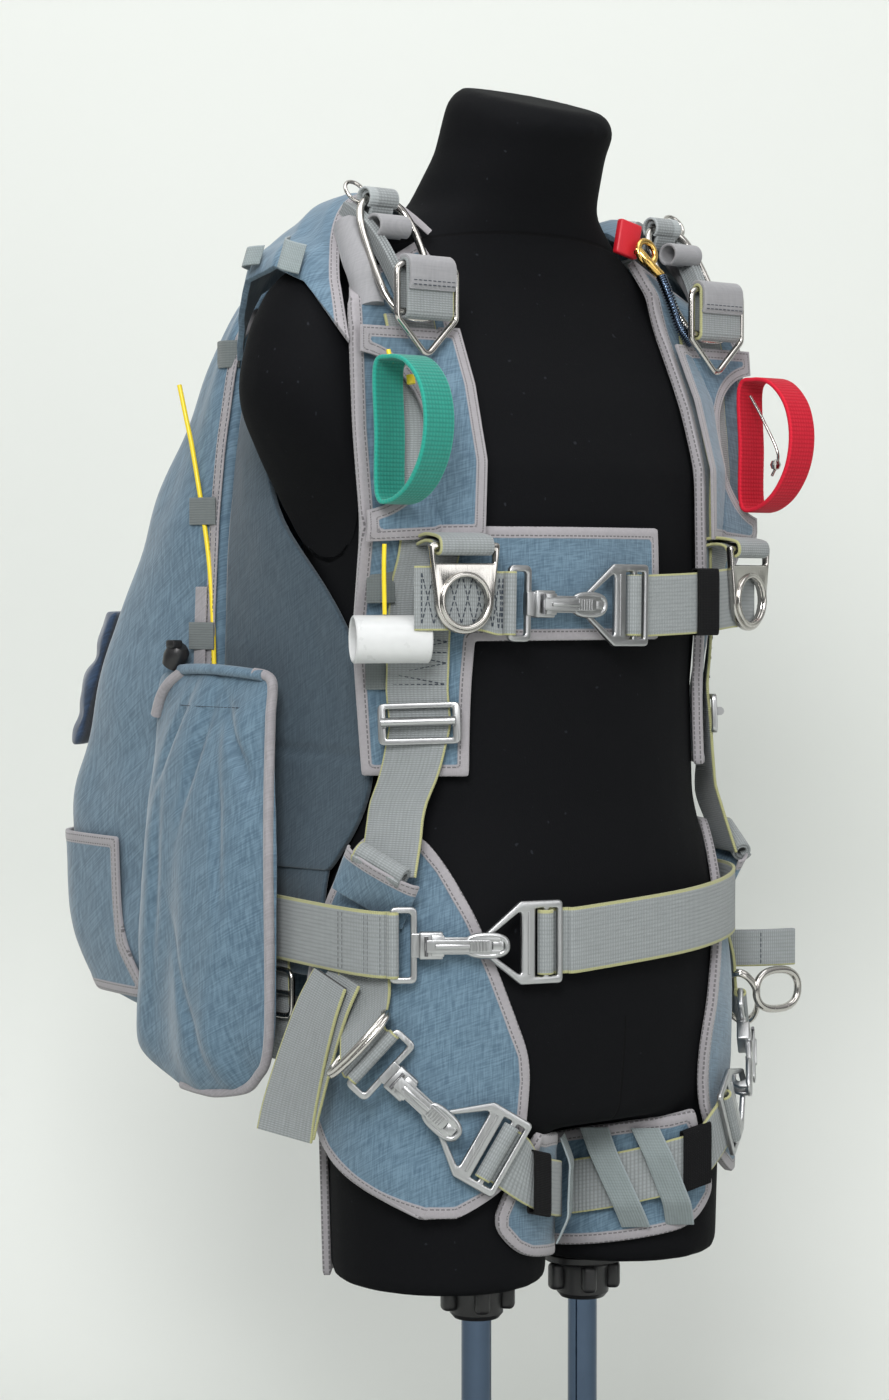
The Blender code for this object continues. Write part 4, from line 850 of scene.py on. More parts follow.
def rim_runs(work, thick):
    """The middle line of a sheet's thin rim, as segments with their place along it."""
    segments = []
    for face in work.faces:
        if len(face.edges) != 4:
            continue
        for first in (0, 1):
            short = face.edges[first], face.edges[first + 2]
            sides = face.edges[1 - first], face.edges[3 - first]
            low, high = (thick * share for share in RIM_SHARES)
            if (all(low < edge.calc_length() < high for edge in short)
                    and all(edge.calc_face_angle(0) > RIM_TURN for edge in sides)):
                segments.append([(edge.verts[0].co + edge.verts[1].co) / 2 for edge in short])
                break
    ordered = []
    while segments:
        run = [segments.pop()]
        found = True
        while found:
            found = False
            for index, (start, end) in enumerate(segments):
                tail = run[-1][1]
                if (start - tail).length < RUN_REACH or (end - tail).length < RUN_REACH:
                    segments.pop(index)
                    run.append([start, end] if (start - tail).length < RUN_REACH else [end, start])
                    found = True
                    break
        along = 0.0
        for start, end in run:
            ordered.append((start, end, along))
            along += (end - start).length
    return ordered


def edge_places(points, runs):
    """For each point, the nearest rim segment's distance and the place along the rim."""
    if not runs:
        return np.ones(len(points)), np.zeros(len(points))
    points = np.array(points)
    starts = np.array([run[0] for run in runs])
    spans = np.array([run[1] for run in runs]) - starts
    lengths = np.linalg.norm(spans, axis=1)
    offset = points[:, None, :] - starts[None, :, :]
    share = np.clip((offset * spans).sum(2) / np.maximum(lengths ** 2, 1e-12), 0, 1)
    nearest = np.linalg.norm(offset - share[:, :, None] * spans, axis=2)
    best = nearest.argmin(1)
    rows = np.arange(len(points))
    along = np.array([run[2] for run in runs])[best] + share[rows, best] * lengths[best]
    return nearest[rows, best], along


def thicken(thing, thick, softness):
    """Gives a sheet its thickness, with its edges softened by a share of it."""
    solid = thing.modifiers.new("thickness", "SOLIDIFY")
    solid.thickness = thick
    solid.offset = 0.0
    soft = thing.modifiers.new("soft edge", "BEVEL")
    soft.width = thick * softness
    soft.segments = 2
    soft.limit_method = "ANGLE"
    soft.angle_limit = CREASE_ANGLE


def bound_piece(name, node, thick, finish, levels=3, crease=0.75, rumple=1.0, shape=None, bound=True):
    """A cloth or pad in its node's place: finer, bound along its edge, and rumpled.

    shape gives a further offset along the normal from the point, the normal and the edge distance.
    """
    looks = chosen()
    work = node_bmesh(node)
    runs = rim_runs(work, thick)
    sharp = work.edges.layers.float.new("crease_edge")
    for edge in work.edges:
        if len(edge.link_faces) == 2 and edge.calc_face_angle(0) > CREASE_ANGLE:
            edge[sharp] = crease
    thing = linked(name, mesh_from(work, name))
    finer = thing.modifiers.new("finer", "SUBSURF")
    finer.levels = levels
    finer.render_levels = levels
    mesh = evaluated(thing)
    distance, along = edge_places([vert.co for vert in mesh.vertices], runs)
    amount = looks.rumple * rumple
    normals = [vert.normal.copy() for vert in mesh.vertices]
    for vert, normal, far in zip(mesh.vertices, normals, distance):
        inner = ease(looks.tape_width, looks.tape_width + 0.02, far)
        lift = bound * TAPE_RELIEF * (1 - ease(looks.tape_width - 0.001, looks.tape_width + 0.001, far))
        lift += amount * inner * (noise.noise(vert.co * 21) * 0.6 + noise.noise(vert.co * 55) * 0.3)
        if shape:
            lift += shape(vert.co, normal, far)
        vert.co += normal * lift
    edge_map = mesh.uv_layers.new(name="Edge")
    for loop in mesh.loops:
        edge_map.data[loop.index].uv = (along[loop.vertex_index], distance[loop.vertex_index])
    mesh.shade_smooth()
    return settle(linked(name, mesh), finish, replaced=(node,))


def strap(name, points, across, width, finish, cells, thick=WEB, replaced=(), closed=False, body="root"):
    """Webbing laid along a row of points, its width along given directions; its map is in metres."""
    work = bmesh.new()
    columns = 8
    bmesh.ops.create_grid(work, x_segments=columns, y_segments=cells, size=0.5)
    low = min(vert.co.x for vert in work.verts)
    span = max(vert.co.x for vert in work.verts) - low
    strap_map = work.loops.layers.uv.new("Strap")
    path = smooth(points, cells, closed)
    if closed:
        path.append(path[0])
    sides = [side.normalized() for side in smooth(across, cells)]
    lengths = [0.0]
    for first, second in zip(path, path[1:]):
        lengths.append(lengths[-1] + (second - first).length)
    for face in work.faces:
        for loop in face.loops:
            index = round((loop.vert.co.y - low) / span * cells)
            loop[strap_map].uv = ((loop.vert.co.x - low) / span * width, lengths[index])
    for vert in work.verts:
        share = (vert.co.x - low) / span
        index = round((vert.co.y - low) / span * cells)
        vert.co = path[index] + sides[index] * width * (share - 0.5)
    if closed:
        merge(work)
    face_out(work)
    thing = from_bmesh(name, work, finish, body, replaced)
    thicken(thing, thick, 0.3)
    return thing


def add_line(curve, points, closed):
    spline = curve.splines.new("POLY")
    spline.points.add(len(points) - 1)
    for knot, point in zip(spline.points, points):
        knot.co = (*point, 1.0)
    spline.use_cyclic_u = closed


def curve_mesh(points, radius, closed, sides):
    curve = bpy.data.curves.new("run", "CURVE")
    curve.dimensions = "3D"
    add_line(curve, points, closed)
    curve.bevel_depth = radius
    curve.bevel_resolution = sides
    curve.use_fill_caps = not closed
    return evaluated(linked("run", curve))


def rods(name, runs, finish, body="root", replaced=(), sides=3):
    """One object of rods or wires, each a row of points, a radius and whether it is closed."""
    work = bmesh.new()
    for points, radius, closed in runs:
        work.from_mesh(curve_mesh(points, radius, closed, sides))
    merge(work)
    face_out(work)
    return from_bmesh(name, work, finish, body, replaced, 60.0)


def flat_mesh(outline, holes, low, high, soft=0.0008):
    """A flat plate of an outline with holes, between two heights, with softened edges."""
    curve = bpy.data.curves.new("plate", "CURVE")
    curve.dimensions = "2D"
    curve.fill_mode = "BOTH"
    curve.extrude = (high - low) / 2 - soft
    curve.bevel_depth = soft
    curve.bevel_resolution = 2
    curve.offset = -soft
    for points in (outline, *holes):
        add_line(curve, [(x, y, 0.0) for x, y in points], True)
    thing = linked("plate", curve)
    thing.location.z = (high + low) / 2
    return evaluated(thing)


def plates(name, meshes, matrix, finish, body="root", replaced=()):
    work = bmesh.new()
    for mesh in meshes:
        work.from_mesh(mesh)
    merge(work, MERGE_REACH / 2)
    bmesh.ops.transform(work, matrix=matrix, verts=work.verts)
    face_out(work)
    return from_bmesh(name, work, finish, body, replaced, 35.0)


def soft_box(size, place, soft=0.001, segments=2):
    """A bevelled block as a mesh, at a point or in a frame."""
    matrix = place if isinstance(place, Matrix) else Matrix.Translation(place)
    work = bmesh.new()
    bmesh.ops.create_cube(work, size=1.0)
    bmesh.ops.scale(work, vec=size, verts=work.verts)
    bmesh.ops.bevel(
        work, geom=work.edges, offset=soft, segments=segments, profile=0.5, affect="EDGES", material=-1)
    bmesh.ops.transform(work, matrix=matrix, verts=work.verts)
    return mesh_from(work, "block")


def spun(name, profile, matrix, finish, body="root", replaced=(), steps=40):
    """A turned piece from a profile of radius and height about Z."""
    work = bmesh.new()
    verts = [work.verts.new((x, 0, z)) for x, z in profile]
    edges = [work.edges.new(pair) for pair in zip(verts, verts[1:])]
    bmesh.ops.spin(
        work, geom=verts + edges, cent=(0, 0, 0), axis=(0, 0, 1), angle=tau, steps=steps, use_merge=True)
    merge(work)
    bmesh.ops.transform(work, matrix=matrix, verts=work.verts)
    face_out(work)
    return from_bmesh(name, work, finish, body, replaced, 35.0)


def rounded(corners, radius, steps=4):
    """The corners of an outline turned into short arcs."""
    points = []
    for index, corner in enumerate(corners):
        here = Vector(corner)
        before = (Vector(corners[index - 1]) - here).normalized()
        after = (Vector(corners[(index + 1) % len(corners)]) - here).normalized()
        reach = radius / tan(before.angle(after) / 2)
        start, end = here + before * reach, here + after * reach
        for step in range(steps + 1):
            share = step / steps
            points.append(tuple(start.lerp(here, share).lerp(here.lerp(end, share), share)))
    return points


def rectangle(left, right, half_width):
    return [(left, -half_width), (right, -half_width), (right, half_width), (left, half_width)]


def stitched(name, rows, finish, radius=0.00042, length=0.0026, gap=0.0013):
    """Stitches along rows of points that lie on a surface, as small rounded threads."""
    work = bmesh.new()
    for row in rows:
        for start, end in zip(row, row[1:]):
            run = end - start
            count = max(int(run.length / (length + gap)), 1)
            for index in range(count):
                middle = start + run * ((index + 0.5) / count)
                turn = run.to_track_quat("Z", "Y").to_matrix().to_4x4()
                bmesh.ops.create_cone(
                    work, cap_ends=True, segments=5, radius1=radius, radius2=radius,
                    depth=min(length, run.length), matrix=Matrix.Translation(middle) @ turn)
    return from_bmesh(name, work, finish, smooth_angle=80.0)


def make_form():
    """The dress form's smooth cover, blended over its solid."""
    work = bmesh.new()
    work.from_mesh(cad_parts["form_body"].data)
    merge(work)
    thing = linked("form", mesh_from(work, "form"))
    even = thing.modifiers.new("even", "REMESH")
    even.mode = "VOXEL"
    even.voxel_size = 0.0045
    soft = thing.modifiers.new("soft", "SMOOTH")
    soft.factor = 0.5
    soft.iterations = 14
    mesh = evaluated(thing)
    for vert in mesh.vertices:
        stump = abs(vert.co.x) - form_section(vert.co.z)[0]
        if stump > 0 and vert.co.z > 0.7:
            keep = ease(0.765, 0.88, vert.co.z)
            vert.co.x -= copysign(stump * (1 - keep), vert.co.x)
    mesh.name = "form_cover"
    mesh.shade_smooth()
    cover = linked("form_cover", mesh)
    settle(cover, "black jersey", replaced=("form_body",))


def make_stand():
    """Base plate, chromed poles and the black clamp knobs under the thighs."""
    low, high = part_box("stand")
    size = (high.x - low.x, high.y - low.y, 0.012)
    middle = vec((high.x + low.x) / 2, (high.y + low.y) / 2, 0.006)
    base = plates("base_plate", [soft_box(size, middle, 0.002, 3)], Matrix(), "base coating",
                  replaced=("stand",))
    foot = THIGH_FOOT - 0.0003
    for side, name in SIDES:
        place = Matrix.Translation((side * POLE_X, 0, 0))
        # The pole's chrome carries a painted dark blue reflection in its colour
        spun(f"pole_{name}", [(0, foot - 0.012), (POLE_RADIUS, foot - 0.012), (POLE_RADIUS, 0.0125), (0, 0.0125)],
             place, "chrome, painted dark blue reflection")
        rim = [(0.0, foot), (0.029, foot), (0.03, foot - 0.001), (0.03, foot - 0.005), (0.0285, foot - 0.006),
               (0.0215, foot - 0.0085), (0.02, foot - 0.012), (0.0195, foot - 0.03), (0.0165, foot - 0.0336),
               (0.0128, foot - 0.0336), (0.0124, foot - 0.03), (0.0, foot - 0.03)]
        spun(f"knob_{name}", rim, place, "black plastic")
        lobes = []
        for index in range(5):
            turn = tau * index / 5 + 0.4
            x, y = side * POLE_X + 0.0225 * cos(turn), 0.0225 * sin(turn)
            spot = Matrix.Translation((x, y, foot - 0.017))
            lobes.append(soft_box((0.011, 0.011, 0.02), spot @ Matrix.Rotation(turn, 4, "Z"), 0.0035, 3))
        plates(f"knob_lobes_{name}", lobes, Matrix(), "black plastic")
        # The pole foot's chrome carries a painted dark blue reflection in its colour
        spun(f"pole_foot_{name}", [(0, 0.0215), (0.017, 0.0215), (0.0185, 0.02), (0.0185, 0.0125), (0, 0.0125)],
             place, "chrome, painted dark blue reflection")


def bundle(point, centre, length, width, turn):
    """A soft long bump at a place, as a share from 0 to 1."""
    offset = point - Vector(centre)
    spread = (cos(turn), sin(turn))
    run = offset.y * spread[0] + offset.z * spread[1]
    side = -offset.y * spread[1] + offset.z * spread[0]
    return exp(-(run / length) ** 2 - (side / width) ** 2)


def pack_shape(point, normal, far):
    """Soft dents and creases of the packed container, as an offset."""
    lift = -0.0022 * bundle(point, (0, 0.17, 0.512), 0.05, 0.004, -0.08) if abs(point.x) > 0.1 else 0.0
    lift += 0.003 * noise.noise(point * 9.0) + 0.0014 * noise.noise(point * 23.0)
    lift += 0.0016 * sin(point.z * 58.0 + 3 * noise.noise(point * 7)) * ease(0.3, 0.4, point.z)
    return lift * ease(0.15, 0.175, point.y)


def make_container():
    pack = bound_piece("pack_cover", "pack_body", 0.0001, "blue cloth, plain", 3, 0.0, 0.0, pack_shape)
    for side, name in SIDES:

        def quilt(point, normal, far, side=side):
            crease = exp(-((point.z - 0.617 - 0.05 * (point.y - 0.05)) / 0.0035) ** 2)
            seams = sum(exp(-((point.z - level) / 0.0016) ** 2) for level in (0.798, 0.842))
            outside = max(normal.x * side, 0.0)
            return outside * (-0.0022 * crease - 0.0009 * seams + 0.0012 * noise.noise(point * 16))
        # The wings take the darker cloth, painted shade
        wing = bound_piece(
            f"wing_{name}", f"side_wing_{name}", WING, "wing cloth, painted shade", 3, 0.5, 0.8, quilt, bound=False)
        make_yoke(side, name)
        make_side_seam(side, name)


# Yokes: the solid's inner edge, crown and outer edge, then the cloth that falls over the stump
YOKE_ROWS = (
    (0.104, -0.008, 0.984, 0.14, 0.025, 1.008, 0.18, 0.0, 0.945, 0.1925, -0.026, 0.902),
    (0.098, 0.022, 0.999, 0.138, 0.045, 1.011, 0.18, 0.018, 0.97, 0.201, 0.012, 0.945),
    (0.093, 0.05, 1.004, 0.134, 0.065, 1.009, 0.178, 0.047, 0.984, 0.205, 0.04, 0.957),
    (0.088, 0.085, 0.999, 0.128, 0.09, 1.0, 0.176, 0.08, 0.976, 0.199, 0.078, 0.95),
    (0.08, 0.118, 0.981, 0.118, 0.118, 0.984, 0.16, 0.112, 0.962, 0.18, 0.112, 0.925),
    (0.072, 0.145, 0.958, 0.108, 0.145, 0.962, 0.138, 0.145, 0.95, 0.156, 0.144, 0.9),
)


def yoke_point(across, along, side):
    at = along * (len(YOKE_ROWS) - 1)
    index = min(int(at), len(YOKE_ROWS) - 2)
    row = [blend(a, b, at - index) for a, b in zip(YOKE_ROWS[index], YOKE_ROWS[index + 1])]
    inner, crown, outer, fall = (Vector(row[start:start + 3]) for start in (0, 3, 6, 9))
    if across > 0.75:
        share = (across - 0.75) / 0.25
        point = outer.lerp(fall, share)
        point.x += 0.005 * sin(pi * share) * min(along * 6, 1)
        return mirrored(point, side)
    across /= 0.75
    point = (inner * (1 - across) * (1 - 2 * across) + crown * 4 * across * (1 - across)
             + outer * across * (2 * across - 1))
    return mirrored(point, side)


def laid_cloth(name, place, cells, thick, finish, taped, rumple=1.0, replaced=()):
    """A sheet laid by place(across, along), both 0 to 1, bound where taped(across, along) says."""
    looks = chosen()
    work = bmesh.new()
    bmesh.ops.create_grid(work, x_segments=cells[0], y_segments=cells[1], size=0.5)
    low = min(vert.co.x for vert in work.verts)
    span = max(vert.co.x for vert in work.verts) - low
    edge_map = work.loops.layers.uv.new("Edge")
    spots = {vert: ((vert.co.x - low) / span, (vert.co.y - low) / span) for vert in work.verts}
    rim = [edge for edge in work.edges if edge.is_boundary and all(taped(*spots[vert]) for vert in edge.verts)]
    for vert, share in spots.items():
        vert.co = place(*share)
    runs, run_along = [], 0.0
    for edge in sorted(rim, key=lambda edge: edge.index):
        first, second = (vert.co.copy() for vert in edge.verts)
        runs.append((first, second, run_along))
        run_along += (second - first).length
    distance, along = edge_places([vert.co for vert in work.verts], runs)
    places = {vert: (spot, far) for vert, spot, far in zip(work.verts, along, distance)}
    for face in work.faces:
        for loop in face.loops:
            loop[edge_map].uv = places[loop.vert]
    work.normal_update()
    moves = {}
    for vert in work.verts:
        inner = ease(looks.tape_width, looks.tape_width + 0.02, places[vert][1])
        amount = noise.noise(vert.co * 22) * 0.7 + noise.noise(vert.co * 60) * 0.3
        moves[vert] = vert.normal * (looks.rumple * rumple * inner * amount)
    for vert, move in moves.items():
        vert.co += move
    face_out(work)
    thing = from_bmesh(name, work, finish, replaced=replaced)
    thicken(thing, thick, 0.35)
    return thing


def make_yoke(side, name):
    yoke = laid_cloth(
        f"yoke_cover_{name}", lambda across, along: yoke_point(across, along, side), (48, 60), 0.0045,
        "blue cloth", lambda across, along: along < 0.001, 1.6, (f"yoke_{name}",))
    for index, (start, end) in enumerate(((0.22, 0.34), (0.52, 0.6))):
        loop = [yoke_point(0.9, blend(start, end, share), side)
                + vec(side * (0.004 + 0.01 * sin(pi * share)), -0.004, 0.004)
                for share in shares(8)]
        strap(f"shoulder_loop_{name}_{index}", loop, vec(side * 0.5, -0.2, -1), 0.024 - 0.008 * index,
              "pale elastic", 24, 0.0014)


def make_side_seam(side, name):
    """The taped seam up the container's side, with its stitches."""
    heights = [0.6 + 0.305 * step / 20 for step in range(21)]
    points = [vec(side * pack_wall(0.1575, height, 0.0022), 0.1575, height) for height in heights]
    across = [vec(0, 1, 0)] * 21
    for y, height in ((0.1545, 0.918), (0.148, 0.928), (0.138, 0.934)):
        points.append(vec(side * (pack_wall(0.156, height, 0.003) + 0.05 * (0.1575 - y)), y, height))
        across.append(vec(0, 0.4, 1))
    strap(f"side_seam_{name}", points, across, 0.0105, "grey tape", 40, 0.0012)
    rows = [[point + vec(side * 0.0008, shift, 0) for point in points[:21]] for shift in (-0.0032, 0.0034)]
    stitched(f"side_seam_stitches_{name}", rows, "dark thread", 0.00028, 0.0024, 0.0012)


def pouch_shape(point, normal, far):
    """Folds of the side pouch: slanting drags under its rolled mouth and slack at its foot."""
    outside = max(-normal.x, 0.0)
    slant = sin((point.y - 0.07) * 95 + (point.z - 0.64) * 60 + 2 * noise.noise(point * 14))
    upper = ease(0.54, 0.66, point.z)
    drag = 0.003 * upper * slant * exp(-((point.z - 0.625) / 0.04) ** 2)
    dent = -0.0075 * bundle(point, (0, 0.175, 0.622), 0.035, 0.0045, 2.1)
    dent -= 0.006 * bundle(point, (0, 0.14, 0.61), 0.04, 0.004, 1.9)
    dent -= 0.007 * bundle(point, (0, 0.095, 0.618), 0.03, 0.0042, 1.1)
    dent -= 0.0045 * bundle(point, (0, 0.11, 0.56), 0.05, 0.005, 1.5)
    dent -= 0.004 * bundle(point, (0, 0.19, 0.52), 0.06, 0.0055, 1.7)
    dent -= 0.0045 * bundle(point, (0, 0.15, 0.44), 0.045, 0.005, 1.2)
    lower = 0.003 * noise.noise(vec(point.y * 30, point.z * 10, 1.5))
    lower += 0.002 * sin(point.y * 120 + 4 * noise.noise(point * 12)) * ease(0.5, 0.4, point.z)
    seam = -0.0012 * exp(-((point.z - 0.648) / 0.0015) ** 2)
    return outside * (drag + dent + lower + seam)


def make_pouches():
    pouch = bound_piece("side_pouch_cover", "side_pouch", 0.005, "blue cloth, plain", 3, 0.25, 1.0, pouch_shape)
    make_pouch_tape()
    rear = bound_piece("rear_pouch_roll", "rear_pouch", 0.0001, "navy cloth", 3, 0.2, 1.0, roll_shape)
    flap = bound_piece("corner_flap_cloth", "corner_flap", CLOTH, "blue cloth", 3, 0.8, 0.4)


def roll_shape(point, normal, far):
    """The rolled layers of the rear pouch."""
    outside = max(normal.y, 0.0) + max(-normal.x, 0.0) * 0.5
    layers = -0.0035 * abs(sin((point.z - 0.612) * 68)) ** 6
    return outside * (layers + 0.0022 * noise.noise(point * 38))


# Side pouch: height, front edge, rear edge, fullness
POUCH_ROWS = (
    (0.366, 0.125, 0.185, 0.005),
    (0.3735, 0.101, 0.211, 0.011),
    (0.385, 0.084, 0.23, 0.016),
    (0.396, 0.074, 0.241, 0.02),
    (0.42, 0.069, 0.243, 0.023),
    (0.47, 0.068, 0.234, 0.026),
    (0.53, 0.067, 0.227, 0.026),
    (0.585, 0.067, 0.218, 0.024),
    (0.64, 0.068, 0.212, 0.016),
    (0.672, 0.07, 0.209, 0.007),
)


def pouch_point(height, across, off):
    """A point off the outer face of the side pouch."""
    front, rear, depth = between(POUCH_ROWS, height)
    y = blend(front, rear, across)
    wall = pack_wall(max(y, 0.155), max(height, 0.465), 0.0)
    layer = blend(0.0075, 0.0012, min(max((y - 0.15) / 0.02, 0.0), 1.0))
    crown = depth * max(sin(pi * across), 0.0) ** 0.7
    return vec(-(wall + layer + 0.004 + crown + off), y, height)


def make_pouch_tape():
    """Binding up the pouch's front edge and round its foot, its rolled mouth, and its stitches."""
    edge = [pouch_point(0.369, share, -0.002) + vec(0, 0, -0.0015) for share in (0.8, 0.45, 0.2)]
    edge += [pouch_point(height, 0.03, -0.0025) + vec(0, -0.0012, 0)
             for height in (0.3735, 0.385, 0.396, 0.42, 0.47, 0.53, 0.585, 0.64, 0.668)]
    edge.append(pouch_point(0.672, 0.12, 0.001) + vec(0, 0, 0.0015))
    rods("pouch_binding", [(smooth(edge, 90), 0.0038, False)], "grey tape", sides=3)
    mouth = [pouch_point(0.67, share, 0.0005) + vec(0, 0, 0.001 + 0.0045 * sin(pi * share))
             for share in (0.06, 0.25, 0.45, 0.62, 0.76)]
    rods("pouch_mouth_roll", [(smooth(mouth, 40), 0.004, False)], "blue cloth, plain")
    rear = [pouch_point(0.671, 0.74, 0.001) + vec(0, 0, 0.002), pouch_point(0.664, 0.84, 0.002),
            pouch_point(0.654, 0.91, 0.001), pouch_point(0.64, 0.96, 0.0)]
    rods("pouch_mouth_binding", [(smooth(rear, 30), 0.0042, False)], "grey tape")
    line = [pouch_point(0.6485, share, 0.0002) for share in (0.16, 0.3, 0.45, 0.6, 0.72)]
    stitched("pouch_stitches", [smooth(line, 24)], "dark thread", 0.0003)


def panel_point(across, along, side):
    """The panel over the pad; its outer edge gives way round the handle's opening."""
    station = blend(2, 4.08, along)
    height = pad_base(station, 0.5).z
    outer, inner = pad_base(station, 0.0).x, pad_base(station, 1.0).x
    rise = abs(height - OPENING_HEIGHT)
    edge = outer
    if rise < OPENING_RADIUS:
        edge = min(outer, OPENING_X - sqrt(OPENING_RADIUS ** 2 - rise ** 2))
    x = blend(edge, inner, across)
    return mirrored(pad_point(station, (outer - x) / (outer - inner), PANEL_LIFT), side)


def make_shoulder_pads():
    for side, name in SIDES:
        pad = bound_piece(f"pad_{name}", f"shoulder_pad_{name}", PAD, "blue cloth", 3, 0.8, 0.7)
        panel = laid_cloth(
            f"panel_{name}", lambda across, along: panel_point(across, along, side), (36, 90), CLOTH, "blue cloth",
            lambda across, along: True, 0.8, (f"front_panel_{name}",))


def lift_point(height, across, lift, side):
    inner, outer = between(LIFT_ROWS, height)
    return mirrored(pad_at(blend(outer, inner, across), height, lift), side)


def make_lift_webs():
    """Main lift webs with their zigzag stitching, and the friction adapters on them."""
    low, high = LIFT_ROWS[0][0], LIFT_ROWS[-1][0]
    for side, name in SIDES:
        heights = [blend(high, low, step / 30) for step in range(31)]
        middles = [lift_point(height, 0.5, LIFT_LIFT, side) for height in heights]
        across = [lift_point(height, 0.98, LIFT_LIFT, side) - lift_point(height, 0.02, LIFT_LIFT, side)
                  for height in heights]
        strap(f"lift_{name}", middles, across, HARNESS_WIDTH, "webbing", 60, replaced=(f"lift_web_{name}",))
        zigzag(f"lift_stitch_{name}", side, 0.712, 0.668, 0.1, 0.9)
        make_adapter(side, name)


def zigzag(name, side, top, foot, start, end):
    """Dark zigzag and cross rows sewn on the lift web between some heights."""
    over = LIFT_LIFT + WEB / 2 + THREAD_LIFT
    rows = [[lift_point(blend(top, foot, step / 6), start if step % 2 else end, over, side) for step in range(7)]]
    for height in (top, foot, (top + foot) / 2):
        rows.append([lift_point(height, share, over, side) for share in (start, end)])
    stitched(name, rows, "dark thread", 0.0004)


def make_adapter(side, name):
    inner, outer = between(LIFT_ROWS, ADAPTER_HEIGHT)
    x = (inner + outer) / 2
    surface = LIFT_LIFT + WEB / 2
    middle = pad_at(x, ADAPTER_HEIGHT, surface + 0.0005)
    up = pad_at(x, ADAPTER_HEIGHT + 0.012, surface) - pad_at(x, ADAPTER_HEIGHT - 0.012, surface)
    aside = pad_at(x + 0.018, ADAPTER_HEIGHT, surface) - pad_at(x - 0.018, ADAPTER_HEIGHT, surface)
    outward = aside.cross(up)
    matrix = plane_matrix(mirrored(middle, side), mirrored(up, side), mirrored(outward, side))
    length, width = ADAPTER_HALF
    frame_mesh = flat_mesh(
        rounded(rectangle(-length, length, width), 0.005),
        [rounded(rectangle(-length + 0.0045, -0.0015, width - 0.0055), 0.0012),
         rounded(rectangle(0.0035, length - 0.004, width - 0.0055), 0.0012)], 0.0, 0.004, 0.0009)
    plates(f"adapter_{name}", [frame_mesh], matrix, "satin alloy", replaced=(f"lift_adapter_{name}",))
    bar = [matrix @ vec(0.0015, y, 0.0062) for y in (-width + 0.003, width - 0.003)]
    rods(f"adapter_bar_{name}", [(bar, 0.0032, False)], "satin alloy")


def arc(x, y, half_width, half_height, start, end, steps):
    """Points along an arc between two angles in degrees."""
    return [(x + half_width * cos(radians(blend(start, end, share))),
             y + half_height * sin(radians(blend(start, end, share)))) for share in shares(steps)]


def oval(count, half_width, half_length, squareness=2.4):
    return [(half_width * power(cos(turn), 2 / squareness), half_length * power(sin(turn), 2 / squareness))
            for turn in turns(count)]


def make_shoulder_hardware():
    """Long rings, V links with their webbing, risers and the small rings that tie them."""
    for side, name in SIDES:
        middle = (RING_TOP + RING_FOOT) / 2
        run = RING_TOP - RING_FOOT
        along = run.normalized()
        loop = [mirrored(middle + vec(x, 0, 0) + along * y, side)
                for x, y in oval(64, RING_HALF_WIDTH, run.length / 2, 3.0)]
        rods(f"shoulder_ring_{name}", [(loop, RING_WIRE, True)], "polished steel",
             replaced=(f"long_ring_{name}",), sides=4)
        corners = [
            (LINK_X - LINK_HALF_WIDTH, LINK_TOP), (LINK_X + LINK_HALF_WIDTH, LINK_TOP),
            (LINK_X + LINK_HALF_WIDTH, LINK_BAR - 0.004), (LINK_X, LINK_FOOT - 0.006),
            (LINK_X - LINK_HALF_WIDTH, LINK_BAR - 0.004)]
        outline = [vec(side * x, LINK_Y, z) for x, z in rounded(corners, 0.0065, 8)]
        ends = [vec(side * (LINK_X + end * LINK_HALF_WIDTH), LINK_Y, LINK_BAR) for end in (-1, 1)]
        rods(f"link_{name}", [(outline, LINK_WIRE, True), (ends, LINK_WIRE * 0.9, False)], "polished steel",
             replaced=(f"riser_link_{name}",), sides=4)
        make_link_web(side, name)
        make_riser(side, name)


def make_link_web(side, name):
    """Webbing wound round the link's two bars, its folded end stitched on top."""
    radius = LINK_WIRE + 0.0004 + WEB / 2
    points = []
    for reach, low, high in ((-radius, LINK_BAR, LINK_TOP), (radius, LINK_TOP, LINK_BAR)):
        points += [vec(0, reach, blend(low, high, share)) for share in shares(8)[:8]]
        points += [vec(0, reach * cos(pi * share), high - reach * sin(pi * share))
                   for share in shares(8)[:8]]
    points = [point + vec(side * LINK_X, LINK_Y, 0) for point in points]
    across = vec(side, 0, 0)
    width = HARNESS_WIDTH - 0.002
    strap(f"link_web_{name}", points, across, width, "webbing", 64, replaced=(f"riser_band_{name}",), closed=True)
    front = LINK_Y - radius - WEB - 0.0006
    cover = [vec(side * LINK_X, y, z) for y, z in (
        (front + 0.0012, 0.9385), (front - 0.0004, 0.942), (front - 0.0006, 0.95), (front + 0.0006, 0.957),
        (LINK_Y - 0.001, 0.961), (LINK_Y + 0.005, 0.96))]
    strap(f"link_cover_{name}", cover, across, width - 0.001, "satin grey", 24, 0.0026)
    lines = [[vec(side * (LINK_X + end * width * 0.46), front - 0.002, height) for end in (-1, 1)]
             for height in (0.941, 0.944)]
    stitched(f"link_stitches_{name}", lines, "dark thread", 0.0003)


